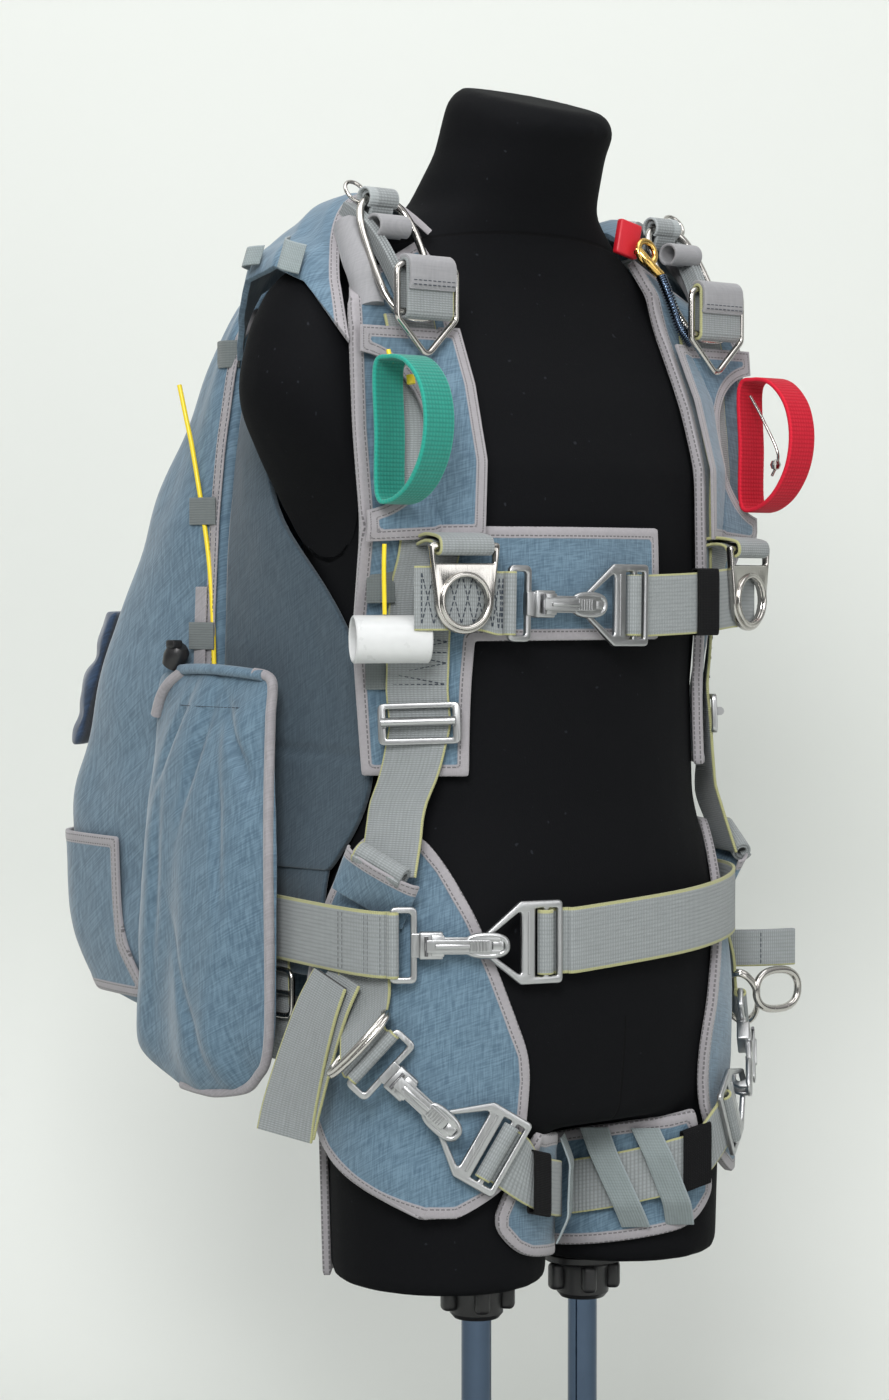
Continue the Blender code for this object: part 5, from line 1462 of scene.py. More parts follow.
def make_riser(side, name):
    radius = RING_WIRE + 0.001 + WEB / 2
    path = [(0.11, 0.9658), (0.08, 0.9768), (0.04, 0.9827), (0.022, 0.9858), (0.015, 0.994)]
    path += arc(RING_TOP.y, RING_TOP.z, radius, radius, -20, 200, 8)
    path += [(RING_TOP.y - 0.003, RING_TOP.z - 0.009), (RING_TOP.y + 0.0005, RING_TOP.z - 0.016)]
    points = [vec(side * RING_TOP.x, y, z) for y, z in path]
    across = vec(side, 0, 0)
    strap(f"riser_{name}", points, across, RISER_WIDTH, "riser webbing", 45, replaced=(f"riser_web_{name}",))
    wrap = [vec(side * RING_TOP.x, y, z)
            for y, z in arc(RING_TOP.y, RING_TOP.z, 0.0072, 0.0072, -60, 240, 16)]
    strap(f"riser_wrap_{name}", wrap, across, RISER_WIDTH + 0.006, "riser webbing", 32, 0.0018)
    tie = [vec(side * (RING_TOP.x + 0.004), y, z)
           for y, z in arc(RING_TOP.y - 0.016, RING_TOP.z - 0.021, 0.0085, 0.0075, -70, 250, 16)]
    strap(f"riser_tie_{name}", tie, across, RISER_WIDTH + 0.008, "satin grey", 32, 0.0022)
    sleeve = [mirrored(point, side) for point in (
        (0.162, 0.012, 0.986), (0.166, 0.0, 0.969), (0.1685, -0.012, 0.948), (0.169, -0.02, 0.927))]
    tube = rods(f"riser_sleeve_{name}", [(smooth(sleeve, 40), 0.0108, False)], "satin grey", sides=5)
    for vert in tube.data.vertices:
        vert.co += vert.normal * 0.0016 * noise.noise(vec(vert.co.x * 90, vert.co.y * 40, vert.co.z * 60))
    for index in range(3):
        shift = 0.003 * index
        layer = [mirrored(point, side) for point in (
            (0.158 - shift, 0.024, 1.0), (0.16 - shift, 0.006, 0.991), (0.157 - shift, -0.012, 0.972),
            (0.153 - shift, -0.026, 0.948), (0.15 - shift, -0.034, 0.928))]
        strap(f"riser_layer_{name}_{index}", layer, vec(side * 0.2, -0.7, 0.6), 0.013,
              "riser webbing", 30, 0.002)
    small = [mirrored(vec(0.157 + 0.0085 * cos(turn), 0.01 + 0.005 * sin(turn),
                              1.01 + 0.0075 * sin(turn)), side)
             for turn in turns(28)]
    rods(f"small_ring_{name}", [(small, 0.0014, True)], "polished steel")


def make_chest_rings():
    """Forged chest rings: a wide bar above a round eye, and the web that hangs each one."""
    for side, name in SIDES:
        outline = arc(0, -0.006, 0.0225, 0.0225, 180, 360, 32)
        outline += rounded([(0.025, 0.012), (0.028, 0.034), (-0.028, 0.034), (-0.025, 0.012)], 0.003)[5:15]
        eye = arc(0, -0.006, 0.0165, 0.0165, 0, 352.5, 47)
        slot = rounded([(x, y + 0.0245) for x, y in rectangle(-0.0228, 0.0228, 0.0045)], 0.0012)
        plate = flat_mesh(outline, [eye, slot], -0.0026, 0.0026, 0.0016)
        upright = Matrix.Rotation(radians(90), 4, "X")
        swing = Matrix.Rotation(radians(side * CHEST_RING_TURN), 4, "Z")
        place = Matrix.Translation(mirrored(CHEST_RING_MIDDLE, side)) @ swing
        plates(f"ring_{name}", [plate], place @ upright, "polished steel", replaced=(f"chest_ring_{name}",))
        lip = [place @ upright @ vec(0.0182 * cos(turn), 0.0182 * sin(turn) - 0.006, 0.003)
               for turn in turns(48)]
        rods(f"ring_lip_{name}", [(lip, 0.0019, True)], "polished steel")
        over = [(0.03, 0.038), (0.018, 0.04), (0.006, 0.039), (-0.0025, 0.0368), (-0.0048, 0.0325),
                (-0.0042, 0.028), (0.0, 0.0262), (0.0044, 0.0285), (0.008, 0.034), (0.018, 0.0355),
                (0.03, 0.033)]
        points = [place @ vec(0, y, z) for y, z in over]
        width_run = place.to_3x3() @ vec(1, 0, 0)
        strap(f"ring_hanger_{name}", points, width_run, HARNESS_WIDTH - 0.002, "webbing", 30)


def fitting_frames(key, side=LEFT):
    values = [mirrored(Vector(value), side) for value in FITTINGS[key]]
    origin, along, outward, vee_along, vee_outward = values
    matrix = plane_matrix(origin, along, outward)
    vee_matrix = plane_matrix(matrix @ vec(VEE_START, 0, 0), vee_along, vee_outward)
    return matrix, vee_matrix


def make_snap(name, matrix):
    """Frame, swivel block and the two rails of the hook, with the lever on its own pin."""
    half = FRAME_THICK / 2
    loop = flat_mesh(
        rounded(rectangle(0, FRAME_LENGTH, FRAME_WIDTH / 2), 0.005),
        [rounded(rectangle(FRAME_BAR, FRAME_LENGTH - FRAME_BAR, FRAME_WIDTH / 2 - FRAME_BAR), 0.002)],
        -half, half, 0.0012)
    tab = flat_mesh(rounded(rectangle(FRAME_LENGTH - FRAME_BAR, FRAME_LENGTH + 0.004, 0.0085), 0.0015), [],
                    -0.0026, 0.003, 0.0008)
    block = soft_box((0.0165, 0.019, 0.01), (0.0285, 0, 0.001), 0.0014, 3)
    cap = soft_box((0.009, 0.015, 0.003), (0.033, 0, 0.0052), 0.0008, 2)
    profile = [
        (HOOK_START, HOOK_LOW), (HOOK_END - 0.0065, HOOK_LOW), (HOOK_END - 0.0045, LIP_HIGH + 0.0045),
        (HOOK_END - 0.0045, LIP_HIGH + 0.0015), (HOOK_END - 0.006, LIP_HIGH), (HOOK_END - LIP_LENGTH, LIP_HIGH),
        (HOOK_END - LIP_LENGTH - 0.0008, LIP_LOW + 0.0012), (HOOK_END - LIP_LENGTH + 0.0006, LIP_LOW),
        (HOOK_END - 0.004, LIP_LOW), (HOOK_END - 0.0012, LIP_LOW + 0.0018), (HOOK_END + 0.0008, LIP_HIGH + 0.003),
        (HOOK_END + 0.001, HOOK_LOW), (HOOK_END - 0.0005, HOOK_TOP - 0.002), (HOOK_END - 0.004, HOOK_TOP),
        (HOOK_START, HOOK_TOP - 0.0008),
    ]
    turn = Matrix.Rotation(radians(90), 4, "X")
    meshes = [loop, tab, block, cap]
    for shift in (-0.0042, 0.0042):
        rail = flat_mesh(profile, [], -0.0017, 0.0017, 0.0005)
        rail.transform(Matrix.Translation((0, shift, 0)) @ turn)
        meshes.append(rail)
    loop = [matrix @ vec(0.0665 + x, y, 0.0046) for y, x in oval(40, 0.007, 0.014, 2.6)]
    rods(f"{name}_bow", [(loop, 0.0022, True)], "satin alloy", sides=3)
    nose = soft_box((0.008, 0.007, 0.0046), (HOOK_END - 0.0048, 0, 0.0046), 0.0012, 2)
    root = soft_box((0.0075, 0.009, 0.004), (0.0385, 0, 0.004), 0.0008, 2)
    plates(f"{name}_hook", [*meshes, nose, root], matrix, "satin alloy", replaced=(f"{name}_snap",))
    level = HOOK_TOP + LEVER_RISE + LEVER_THICK / 2
    lever = flat_mesh(rounded(rectangle(LEVER_START, LEVER_END, LEVER_WIDTH / 2), 0.0028), [],
                      level - LEVER_THICK / 2, level + LEVER_THICK / 2, 0.0005)
    ribs = [soft_box((0.001, LEVER_WIDTH - 0.0016, 0.0008), (LEVER_END - 0.004 - 0.0022 * index,
            0, level + LEVER_THICK / 2), 0.0003, 1) for index in range(6)]
    spine = soft_box((0.024, 0.003, 0.0022), (0.043, 0, level + 0.0012), 0.0008, 2)
    plates(f"{name}_latch", [lever, spine, *ribs], matrix, "satin alloy", body=f"{name}_lever",
           replaced=(f"{name}_lever",))
    pin = [matrix @ vec(LEVER_START + 0.001, y, level - 0.0004) for y in (-0.0068, 0.0068)]
    spring = [matrix @ vec(0.05, y, 0.004) for y in (-0.003, 0.003)]
    rods(f"{name}_pins", [(pin, 0.0013, False), (spring, 0.002, False)], "dark steel")


def make_vee(name, matrix, finish_width=HARNESS_WIDTH):
    """V adapter: bent bar, plate with a groove, and the webbing rolled round its bar."""
    half, bar = VEE_WIDTH / 2, VEE_BAR
    corners = [
        (0, -0.006), (VEE_SHOULDER, -half), (VEE_END, -half), (VEE_END, half), (VEE_SHOULDER, half), (0, 0.006)]
    window = [(bar, -0.005), (VEE_SHOULDER + 0.0005, -half + 1.45 * bar),
              (VEE_SHOULDER + 0.0005, half - 1.45 * bar), (bar, 0.005)]
    slots = [rounded(rectangle(start, end, half - 1.3 * bar), 0.001)
             for start, end in ((0.0395, 0.0455), (0.05, VEE_END - VEE_BAR))]
    plate = flat_mesh(
        rounded(corners, 0.0038), [rounded(window, 0.0022), *slots], -VEE_THICK / 2, VEE_THICK / 2, 0.0013)
    groove = soft_box((0.0022, VEE_WIDTH - 0.014, 0.001), (0.0345, 0, VEE_THICK / 2), 0.0004, 1)
    plates(f"{name}_adapter", [plate, groove], matrix, "satin alloy", replaced=(f"{name}_vee",))
    roll = [matrix @ vec(0.0477 + 0.0048 * cos(turn), 0, 0.0042 * sin(turn) + 0.0002)
            for turn in turns(20)]
    across = matrix.to_3x3() @ vec(0, 1, 0)
    strap(f"{name}_roll", roll, across, finish_width - 0.001, "webbing", 40, 0.0018, closed=True)


def strap_start(matrix, places, level):
    across = matrix.to_3x3() @ vec(0, 1, 0)
    return [matrix @ vec(x, 0, level) for x in places], [across] * len(places)


def frame_fold(name, matrix, width, finish):
    """The strap's fold round the snap's frame bar, as a closed loop."""
    loop = [matrix @ vec(0.0022 - 0.0035 * cos(turn), 0, 0.004 * sin(turn) - 0.0006)
            for turn in turns(20)]
    across = matrix.to_3x3() @ vec(0, 1, 0)
    strap(name, loop, across, width, finish, 40, 0.0016, closed=True)


def cross_rows(name, points, across, width, places, lift, finish="dark thread", spread=0.44):
    """Rows of stitches sewn across a strap, at shares of its length."""
    fine = smooth(points, 100)
    sides = smooth(across, 100)
    rows = []
    for place in places:
        index = min(int(place * 100), 99)
        run = fine[index + 1] - fine[index]
        outward = sides[index].cross(run).normalized() * lift
        middle = fine[index] + outward
        rows.append([middle - sides[index].normalized() * width * spread,
                     middle + sides[index].normalized() * width * spread])
    stitched(name, rows, finish, 0.00036)


def zigzag_along(name, points, across, width, start, end, strokes):
    """A zigzag sewn along a strap, with a row across at each end, on its outer face."""
    fine, sides = smooth(points, 200), smooth(across, 200)

    def spot(place, share):
        index = min(int(place * 200), 199)
        side = sides[index].normalized()
        outward = side.cross(fine[index + 1] - fine[index]).normalized() * (WEB / 2 + THREAD_LIFT)
        if outward.y > 0:
            outward.negate()
        return fine[index] + outward + side * width * share
    rows = [[spot(blend(start, end, step / strokes), reach if step % 2 else -reach) for step in range(strokes + 1)]
            for reach in (0.4, -0.4)]
    rows += [[spot(place, -0.4), spot(place, 0.4)] for place in (start, end)]
    stitched(name, rows, "dark thread", 0.00042)


def make_chest_strap():
    matrix, vee_matrix = fitting_frames("chest")
    make_snap("chest", matrix)
    make_vee("chest", vee_matrix)
    points, across = strap_start(matrix, *FROM_FRAME)
    ring = mirrored(CHEST_RING_MIDDLE, RIGHT)
    rest = [ring + vec(0.012, 0.002, -0.004), ring + vec(-0.014, 0.0072, -0.004),
            ring + vec(-0.03, 0.017, -0.004)]
    points, across = [*points, *rest], [*across, UP, UP, UP]
    strap("chest_strap_right", points, across, HARNESS_WIDTH, "webbing", 40, replaced=("chest_web_right",))
    frame_fold("chest_fold", matrix, HARNESS_WIDTH, "webbing")
    zigzag_along("chest_zigzag", points, across, HARNESS_WIDTH, 0.3, 0.93, 8)
    points, across = strap_start(vee_matrix, *FROM_VEE)
    ring = mirrored(CHEST_RING_MIDDLE, LEFT)
    rest = [vec(0.078, -0.0965, 0.7235), ring + vec(-0.012, 0.0029, -0.004),
            ring + vec(0.014, 0.0081, -0.004)]
    strap("chest_strap_left", [*points, *rest], [*across, UP, UP, UP], HARNESS_WIDTH, "webbing", 44,
          replaced=("chest_web_left",))
    keeper_band("chest_keeper", vec(0.084, -0.0955, 0.724), vec(0.99, 0.11, 0), UP, 0.0245, 0.0475,
                "black elastic")


def keeper_band(name, middle, along, across, length, width, finish, thick=0.003):
    """An elastic keeper round a strap, as a flat closed loop."""
    along, across = Vector(along).normalized(), Vector(across).normalized()
    outward = along.cross(across).normalized()
    loop = [middle + across * x + outward * y for x, y in oval(28, width / 2, thick, 7.0)]
    strap(name, loop, along, length, finish, 56, 0.0012, closed=True)


def hip_shape(point, normal, far):
    """Slight dimples of the hip pad's quilting."""
    return 0.0006 * sin(point.z * 95) * sin(point.y * 80 + point.x * 60) * ease(0.012, 0.03, far)


def waist_point(across, along, side):
    """The back pad's cloth between a wing and the belly strap, inside the strap."""
    height = blend(0.545, 0.458, along)
    y = blend(0.036, 0.1464, across)
    low_x = between(((0.036, 0.165), (0.095, 0.16), (0.1464, 0.1535)), y)[0]
    high_x = blend(0.159, 0.169, across)
    return vec(side * (blend(high_x, low_x, ease(0.0, 0.45, along)) + 0.0004), y, height)


def pocket_frame(side):
    """Middle of the rolled webbing at the lift web's foot, its axis, and the way down and out."""
    middle = lift_point(0.542, 0.45, LIFT_LIFT, side)
    axis = (lift_point(0.542, 1.0, LIFT_LIFT, side) - lift_point(0.542, 0.0, LIFT_LIFT, side)).normalized()
    axis = (axis - UP * 0.5).normalized()
    outward = axis.cross(UP).normalized()
    if outward.y > 0:
        outward.negate()
    down = outward.cross(axis).normalized()
    if down.z > 0:
        down.negate()
    return middle, axis, down, outward


def make_pocket(side, name):
    """The pocket at the hip pad's head, with the rolled end of the lift web in it."""
    middle, axis, down, outward = pocket_frame(side)
    roll = []
    for step in range(64):
        turn = tau * 2.2 * step / 63
        radius = 0.0034 + 0.0042 * step / 63
        roll.append(middle + outward * (0.01 + radius * sin(turn)) + down * radius * cos(turn))
    strap(f"pocket_roll_{name}", roll, axis, 0.04, "webbing", 80, 0.0018)

    def pocket(across, along):
        span = blend(-0.03, 0.03, across)
        depth = blend(0.0015, 0.036, along)
        bulge = 0.015 * cos(span / 0.03 * pi / 2) ** 0.5 * (1 - along) - 0.004 * along
        return middle + axis * span + down * depth + outward * (0.0035 + bulge)
    front = laid_cloth(
        f"pocket_{name}", pocket, (30, 24), 0.0022, "blue cloth", lambda across, along: along < 0.001, 0.8)


def make_rear_webbing(side, name):
    """Folded webbing and its adapter, hanging from the belly strap behind the hip pad."""
    points = [vec(side * x, y, z) for x, y, z in (
        (0.164, 0.094, 0.48), (0.165, 0.092, 0.458), (0.1655, 0.09, 0.436), (0.164, 0.088, 0.418),
        (0.159, 0.09, 0.408), (0.153, 0.094, 0.418), (0.15, 0.098, 0.44))]
    across = vec(0, 1, 0.1)
    strap(f"rear_webbing_{name}", points, across, 0.034, "webbing", 50)
    ring = [vec(side * 0.1688, 0.09 + x, 0.444 + y) for x, y in oval(40, 0.022, 0.0165, 6.0)]
    bar = [vec(side * 0.1688, 0.07, 0.444), vec(side * 0.1688, 0.11, 0.444)]
    rods(f"rear_adapter_{name}", [(ring, 0.0021, True), (bar, 0.0019, False)], "polished steel")
    for index in range(2):
        fold = [vec(side * (0.16 - 0.006 * index + 0.004 * sin(step * 0.9)), 0.1 + 0.004 * index,
                        0.424 - 0.0065 * step) for step in range(6)]
        strap(f"rear_fold_{name}_{index}", fold, vec(side * 0.25, 1, 0.25), 0.036, "leg webbing", 30)


def make_hip_and_leg_pads():
    for side, name in SIDES:
        hip = bound_piece(f"hip_{name}", f"hip_pad_{name}", HIP_PAD, "blue cloth", 3, 0.8, 0.5, hip_shape)
        # The waist cloth takes the darker wing cloth, painted shade
        waist = laid_cloth(
            f"waist_cloth_{name}", lambda across, along: waist_point(across, along, side), (40, 34), 0.004,
            "wing cloth, painted shade", lambda across, along: False, 1.2)
        make_pocket(side, name)
        make_rear_webbing(side, name)
        leg = bound_piece(f"leg_cushion_{name}", f"leg_pad_{name}", HIP_PAD, "blue cloth", 3, 0.8, 0.8)


def make_belly_strap():
    matrix, vee_matrix = fitting_frames("belly")
    make_snap("belly", matrix)
    make_vee("belly", vee_matrix, BELLY_WIDTH)
    points, across = strap_start(matrix, *FROM_FRAME)
    points = [*points, *BELLY_RIGHT_ROUTE]
    across = [*across, *[UP] * len(BELLY_RIGHT_ROUTE)]
    strap("belly_strap_right", points, across, BELLY_WIDTH, "belly webbing", 70, replaced=("belly_web_right",))
    frame_fold("belly_fold", matrix, BELLY_WIDTH, "belly webbing")
    cross_rows("belly_rows_right", points, across, BELLY_WIDTH, (0.27, 0.36, 0.385, 0.5, 0.52), WEB / 2 + 0.0002,
               "grey thread")
    points, across = strap_start(vee_matrix, *FROM_VEE)
    rest = [form_point(angle, height, 0.0125) for angle, height in BELLY_BAND_ROWS]
    rest += [Vector(point) for point in BELLY_LEFT_END]
    strap("belly_strap_left", [*points, *rest], [*across, *[UP] * len(rest)], BELLY_WIDTH, "belly webbing", 110,
          replaced=("belly_web_left",))


def make_leg_straps():
    for side, name in SIDES:
        matrix, vee_matrix = fitting_frames("leg", side)
        make_snap(f"leg_{name}", matrix)
        make_vee(f"leg_{name}", vee_matrix, LEG_BAND_WIDTH + 0.003)
        points, across = strap_start(matrix, *FROM_FRAME)
        top = form_point(side * 77, 0.45, 0.0105)
        slope = form_point(side * 69, 0.46, 0.0105) - form_point(side * 85, 0.442, 0.0105)
        if across[0].dot(slope) < 0:
            slope.negate()
        slope.normalize()
        under = form_point(side * 80, 0.478, 0.008)
        strap(f"leg_strap_{name}", [*points, top, under], [*across, slope, slope], HARNESS_WIDTH, "webbing", 40,
              replaced=(f"leg_web_{name}",))
        frame_fold(f"leg_fold_{name}", matrix, HARNESS_WIDTH, "webbing")
        make_leg_ring(side, name, matrix)
        points, across = strap_start(vee_matrix, (VEE_END - 0.012, VEE_END), STRAP_UNDER_VEE)
        rest = [thigh_point(side, *row) for row in LEG_BAND_ROWS]
        up = UP if across[0].z > 0 else -UP
        strap(f"leg_webbing_{name}", [*points, *rest], [*across, *[up] * len(rest)], LEG_BAND_WIDTH,
              "leg webbing", 60, replaced=(f"leg_band_{name}",))
        place = thigh_point(side, 6, 0.3195, 0.0142)
        ahead = thigh_point(side, 12, 0.317, 0.013) - place
        keeper_band(f"leg_keeper_{name}", place, ahead, UP, 0.0235, LEG_BAND_WIDTH + 0.004, "black elastic")


def make_leg_ring(side, name, matrix):
    """Two round steel rings on the leg strap, just above its snap."""
    runs = []
    for shift, tilt in ((-0.01, 0.34), (-0.0125, 0.24)):
        loop = [matrix @ vec(
            shift + 0.006 * sin(turn) * tilt, 0.0285 * cos(turn), 0.0125 * sin(turn) - 0.001)
            for turn in turns(48)]
        runs.append((loop, 0.0021, True))
    rods(f"leg_rings_{name}", runs, "polished steel", sides=3)


def make_leg_bands():
    """Grey elastic bands across the leg pads, over the webbing."""
    for side, name in SIDES:
        pairs = ((48, 36),) if side == RIGHT else ((31, 12), (55, 35))
        for index, (top_angle, foot_angle) in enumerate(pairs):
            points = [
                thigh_point(side, blend(top_angle, foot_angle, share), blend(0.3425, 0.27, share),
                            0.009 + 0.007 * ease(0.02, 0.22, share) * ease(0.98, 0.78, share))
                for share in shares(8)]
            flank = thigh_point(side, 46, 0.3, 0.01) - thigh_point(side, 30, 0.3, 0.01)
            strap(f"leg_elastic_{name}_{index}", points, flank, 0.021, "pale elastic", 40, 0.0014)


def make_handles():
    for side, finish, node in ((RIGHT, "green webbing", "handle_green"), (LEFT, "red webbing", "handle_red")):
        points = [vec(side * HANDLE_X, -HANDLE_ROOT - depth, height) for depth, height in HANDLE_ROWS]
        strap(f"{node}_loop", points, vec(side, 0, 0), HANDLE_WIDTH, finish, 90, 0.003,
              replaced=(node,), closed=True)
    stub = smooth([(-0.176, -0.048, 0.896), (-0.176, -0.05, 0.89), (-0.176, -0.052, 0.886)], 8)
    rods("cable_stub", [(stub, 0.0016, False)], "yellow coating")
    rods("collar_stub", [([vec(-0.163, -0.052, 0.892), vec(-0.163, -0.054, 0.885)], 0.0026, False)],
         "clear collar")
    rods("cable_end", [(smooth([(-0.163, -0.056, 0.879), (-0.1632, -0.057, 0.873)], 6), 0.003, False)],
         "yellow coating")
    wire = smooth([(0.17, -0.058, 0.878), (0.172, -0.072, 0.856), (0.174, -0.083, 0.833),
                   (0.175, -0.076, 0.818)], 24)
    rods("red_handle_wire", [(wire, 0.0011, False)], "polished steel")
    ball = Matrix.Translation((0.1745, -0.08, 0.826))
    spun("red_handle_pin", [(0, 0.0042), (0.003, 0.003), (0.0042, 0), (0.003, -0.003), (0, -0.0042)], ball,
         "polished steel", steps=24)


def make_tube_and_cables():
    inner, outer = TUBE_RADII
    end = TUBE_LENGTH / 2
    lip = 0.0008
    profile = [(inner + lip, end), (outer - lip, end), (outer, end - lip), (outer, lip - end), (outer - lip, -end),
               (inner + lip, -end), (inner, lip - end), (inner, end - lip), (inner + lip, end)]
    turn = TUBE_AXIS.to_track_quat("Z", "Y").to_matrix().to_4x4()
    place = Matrix.Translation(TUBE_MIDDLE) @ turn
    spun("tube", profile, place, "white plastic", replaced=("white_tube",), steps=64)
    front = smooth([(-0.18, -0.0485, 0.764), (-0.18, -0.048, 0.745), (-0.1785, -0.047, 0.7159)], 24)
    rods("cable_front", [(front, 0.0016, False)], "yellow coating", replaced=("front_cable",))
    rows = ((0.668, 0.1516), (0.725, 0.1565), (0.769, 0.164), (0.832, 0.18), (0.86, 0.188), (0.884, 0.195))
    points = []
    for height, y in rows:
        lift = 0.0024 + 0.01 * max(height - 0.8, 0.0) / 0.1
        points.append((-pack_wall(y, min(height, 0.84), lift), y, height))
    rods("cable_side", [(smooth(points, 60), 0.0018, False)], "yellow coating", replaced=("side_cable",))
    for index, (height, width, outer) in enumerate(((0.739, 0.028, 0.1765), (0.674, 0.02, 0.164))):
        patch = [mirrored(pad_at(outer - 0.006 * step, height, PAD / 2 + 0.0014), RIGHT) for step in range(4)]
        strap(f"pad_patch_{index}", patch, UP, width, "grey elastic", 20, 0.0014)
    for index, (height, y) in enumerate(((0.7905, 0.168), (0.699, 0.164), (0.906, 0.166))):
        span = [vec(-pack_wall(y + shift, height, 0.0046), y + shift, height)
                for shift in (-0.013, -0.005, 0.003, 0.012)]
        strap(f"cable_keeper_{index}", span, UP, 0.02, "grey elastic", 24, 0.0014)
    tab = [vec(-pack_wall(0.1665, height, 0.003), 0.1665, height) for height in (0.668, 0.7, 0.735)]
    strap("pull_tab", tab, vec(0, 1, 0), 0.013, "grey tape", 24, 0.0016)
    lock = Matrix.Translation((-0.187, 0.183, 0.683)) @ Matrix.Rotation(radians(35), 4, "X")
    spun("cord_lock", [(0, 0.011), (0.0055, 0.0105), (0.0085, 0.007), (0.0092, 0.0), (0.0078, -0.007), (0, -0.009)],
         lock, "black plastic", steps=24)
    button = Matrix.Translation((-0.191, 0.179, 0.693))
    plates("cord_lock_button", [soft_box((0.009, 0.01, 0.006), button, 0.0015, 2)], Matrix(), "black plastic")


def make_tail():
    points = [Vector(point) for point in TAIL_ROUTE]
    across = [vec(0.15, 1.0, 0.25), vec(0.02, 1.0, 0.25), vec(-0.15, 1.0, 0.22),
              vec(-0.32, 0.95, 0.2), vec(-0.42, 0.9, 0.18)]
    outer = [point + vec(-0.002, -0.001, 0) for point in points]
    strap("tail", outer, across, HARNESS_WIDTH, "webbing", 50, replaced=("loose_tail",))
    inner = [point + vec(0.0035 - 0.0008 * index, -0.011 + 0.0018 * index, 0.002)
             for index, point in enumerate(points)]
    strap("tail_under", inner, across, HARNESS_WIDTH - 0.004, "webbing", 50)
    facing = [point + vec(0.0016, -0.001, 0) for point in outer]
    strap("tail_hook_tape", facing, across, HARNESS_WIDTH - 0.006, "hook tape", 40, 0.0014)
    cross_rows("tail_rows", outer, across, HARNESS_WIDTH, (0.9, 0.935), -WEB / 2 - THREAD_LIFT, spread=0.32)


def make_side_ring():
    points = [Vector(point) for point in LOOP_ROUTE]
    strap("hip_loop", points, UP, 0.028, "webbing", 36, FOLDED_WEB, replaced=("side_loop",))
    loop = [SIDE_RING_MIDDLE + vec(x, -0.12 * x, y) for x, y in oval(56, *SIDE_RING_HALF, 2.4)]
    rods("hip_ring", [(loop, D_RING_WIRE, True)], "polished steel", replaced=("side_ring",), sides=4)
    cross_rows("hip_loop_rows", points, UP, 0.028, (0.45,), -FOLDED_WEB / 2 - THREAD_LIFT)


def make_left_shoulder_snap():
    """Red tab, brass snap and the bright flexible housing on the left shoulder."""
    tab = Matrix.Translation((0.086, -0.012, 0.993)) @ Matrix.Rotation(radians(12), 4, "Y")
    plates("red_tab", [soft_box((0.022, 0.006, 0.026), tab, 0.0018, 3)], Matrix(), "red leather")
    centre = vec(0.096, -0.022, 0.983)
    loop = [centre + vec(0.0085 * cos(turn), 0.002 * sin(turn), 0.0085 * sin(turn))
            for turn in turns(32)]
    arm = [vec(0.088, -0.02, 0.985), vec(0.093, -0.026, 0.976), vec(0.099, -0.028, 0.97),
           vec(0.104, -0.029, 0.966)]
    rods("brass_snap", [(loop, 0.0024, True), (smooth(arm, 16), 0.0036, False)], "brass")
    housing = smooth([(0.103, -0.03, 0.966), (0.107, -0.036, 0.948), (0.114, -0.04, 0.927),
                      (0.122, -0.045, 0.915)], 60)
    runs = [(housing, 0.003, False)]
    for index in range(2, len(housing) - 2, 2):
        run = (housing[index + 1] - housing[index - 1]).normalized()
        side = run.orthogonal().normalized()
        other = run.cross(side)
        ring = [housing[index] + side * 0.0036 * cos(turn) + other * 0.0036 * sin(turn)
                for turn in turns(12)]
        runs.append((ring, 0.0007, True))
    # The housing's chrome carries a painted dark blue reflection in its colour
    rods("flexible_housing", runs, "chrome, painted dark blue reflection", sides=1)


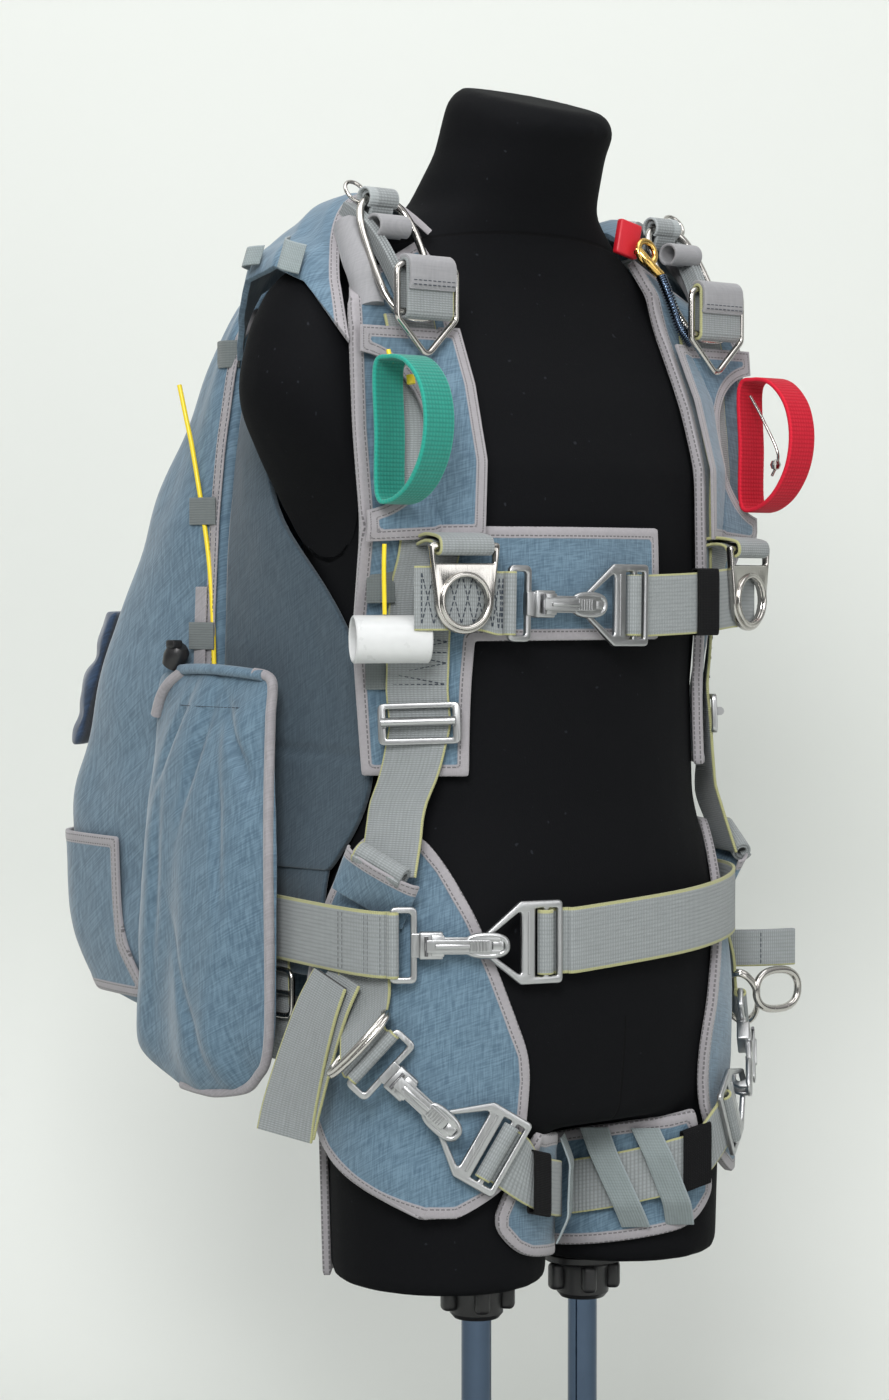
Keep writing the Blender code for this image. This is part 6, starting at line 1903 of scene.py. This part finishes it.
def make_stage():
    """Pale floor and backdrop, soft lights, and the camera at the photograph's angle."""
    forward = vec(-sin(CAMERA_TURN), cos(CAMERA_TURN), 0)
    aside = vec(forward.y, -forward.x, 0)
    tree, shader = new_material("pale backdrop", 0.9)
    shade = speckle(tree, object_place(tree), 1.5)
    feed(tree, shader.inputs["Base Color"], mixed(tree, shade, (0.66, 0.68, 0.65), (0.69, 0.71, 0.68)))
    work = bmesh.new()
    half_width, start, bend, radius, top = SWEEP
    floor, curved, rows = SWEEP_ROWS
    bmesh.ops.create_grid(work, x_segments=2, y_segments=rows, size=1.0)
    for vert in work.verts:
        row = (vert.co.y + 1) / 2 * rows
        if row <= floor:
            depth, height = blend(start, bend, row / floor), 0.0
        elif row <= curved:
            turn = radians(90) * (row - floor) / (curved - floor)
            depth, height = bend + radius * sin(turn), radius * (1 - cos(turn))
        else:
            depth, height = bend + radius, blend(radius, top, (row - curved) / (rows - curved))
        vert.co = aside * (vert.co.x * half_width) + forward * depth + UP * (height - 0.0002)
    face_out(work)
    mesh = mesh_from(work, "backdrop")
    mesh.shade_smooth()
    backdrop = linked("backdrop", mesh)
    mesh.materials.append(FINISHES["pale backdrop"])
    target = vec(0, 0.05, 0.62)
    lamps = (
        ("key", -0.35, -2.3, 1.9, 1.0, 55.0), ("fill", 1.7, -1.9, 1.2, 1.6, 16.0),
        ("top", 0.1, -0.4, 2.6, 1.6, 18.0), ("wall", -1.3, -0.3, 2.4, 1.0, 7.0))
    for name, sideways, depth, height, size, watts in lamps:
        data = bpy.data.lights.new(name, "AREA")
        data.energy = watts
        data.size = size
        lamp = linked(name, data)
        lamp.location = aside * sideways + forward * depth + UP * height
        lamp.rotation_euler = (target - lamp.location).to_track_quat("-Z", "Y").to_euler()
    world = bpy.data.worlds.new("studio")
    world.use_nodes = True
    tree = world.node_tree
    _, _, rise = parted(tree, add_node(tree, "ShaderNodeTexCoord").outputs["Generated"])
    sky = mixed(tree, ramped(tree, rise, -0.15, 0.75), (0.1, 0.105, 0.11), (1.0, 1.0, 1.0))
    tree.links.new(sky, tree.nodes["Background"].inputs[0])
    tree.nodes["Background"].inputs[1].default_value = SKY_STRENGTH
    bpy.context.scene.world = world
    data = bpy.data.cameras.new("camera")
    data.sensor_width = SENSOR
    data.lens = LENS
    camera = linked("camera", data)
    camera.location = CAMERA_PLACE
    look = forward * cos(CAMERA_DROP) - UP * sin(CAMERA_DROP)
    camera.rotation_euler = look.to_track_quat("-Z", "Y").to_euler()
    bpy.context.scene.camera = camera
    bpy.context.scene.view_settings.view_transform = "Standard"


STEPS = {
    "stage": ("Stage", "Make the finishes, backdrop, lights and camera", (make_finishes, make_stage)),
    "form": ("Dress Form", "Make the dress form and its stand", (make_form, make_stand)),
    "container": ("Container", "Make the container, its wings, yokes and side seams", (make_container,)),
    "pouches": ("Pouches", "Make the side pouch, the rolled rear pouch and the corner flap",
        (make_pouches,)),
    "shoulders": ("Shoulders", "Make the shoulder pads, panels, lift webs and shoulder hardware",
        (make_shoulder_pads, make_lift_webs, make_shoulder_hardware, make_left_shoulder_snap)),
    "chest": ("Chest Strap", "Make the chest rings and the chest strap with its snap",
        (make_chest_rings, make_chest_strap)),
    "hips": ("Hips", "Make the hip and leg pads, the belly strap and the side ring",
        (make_hip_and_leg_pads, make_belly_strap, make_tail, make_side_ring)),
    "legs": ("Leg Straps", "Make the leg straps, their snaps, rings and elastic bands",
        (make_leg_straps, make_leg_bands)),
    "controls": ("Handles and Cables", "Make the handles, the white tube and the cables",
        (make_handles, make_tube_and_cables)),
}


def step_operator(key, label, text, makers):
    """The operator of one step, which makes its pieces."""

    def execute(self, context):
        for make in makers:
            make()
        return {"FINISHED"}
    return type(f"PARACHUTE_OT_{key}", (bpy.types.Operator,), {
        "__doc__": text, "bl_idname": f"parachute.{key}", "bl_label": label, "execute": execute})


class PARACHUTE_PT_panel(bpy.types.Panel):
    """Lists the looks and the operators that make the pieces"""
    bl_idname = "PARACHUTE_PT_panel"
    bl_label = "Parachute"
    bl_space_type = "VIEW_3D"
    bl_region_type = "UI"
    bl_category = "Parachute"

    def draw(self, context):
        for name in ParachuteLooks.__annotations__:
            self.layout.prop(context.scene.parachute_looks, name)
        for step in STEPS:
            self.layout.operator(f"parachute.{step}")


CLASSES = (ParachuteLooks, *(step_operator(key, *step) for key, step in STEPS.items()), PARACHUTE_PT_panel)


def register():
    for kind in CLASSES:
        bpy.utils.register_class(kind)
    bpy.types.Scene.parachute_looks = bpy.props.PointerProperty(type=ParachuteLooks)


def unregister():
    del bpy.types.Scene.parachute_looks
    for kind in reversed(CLASSES):
        bpy.utils.unregister_class(kind)


def main():
    register()
    for step in STEPS:
        getattr(bpy.ops.parachute, step)()


if __name__ == "__main__":
    main()
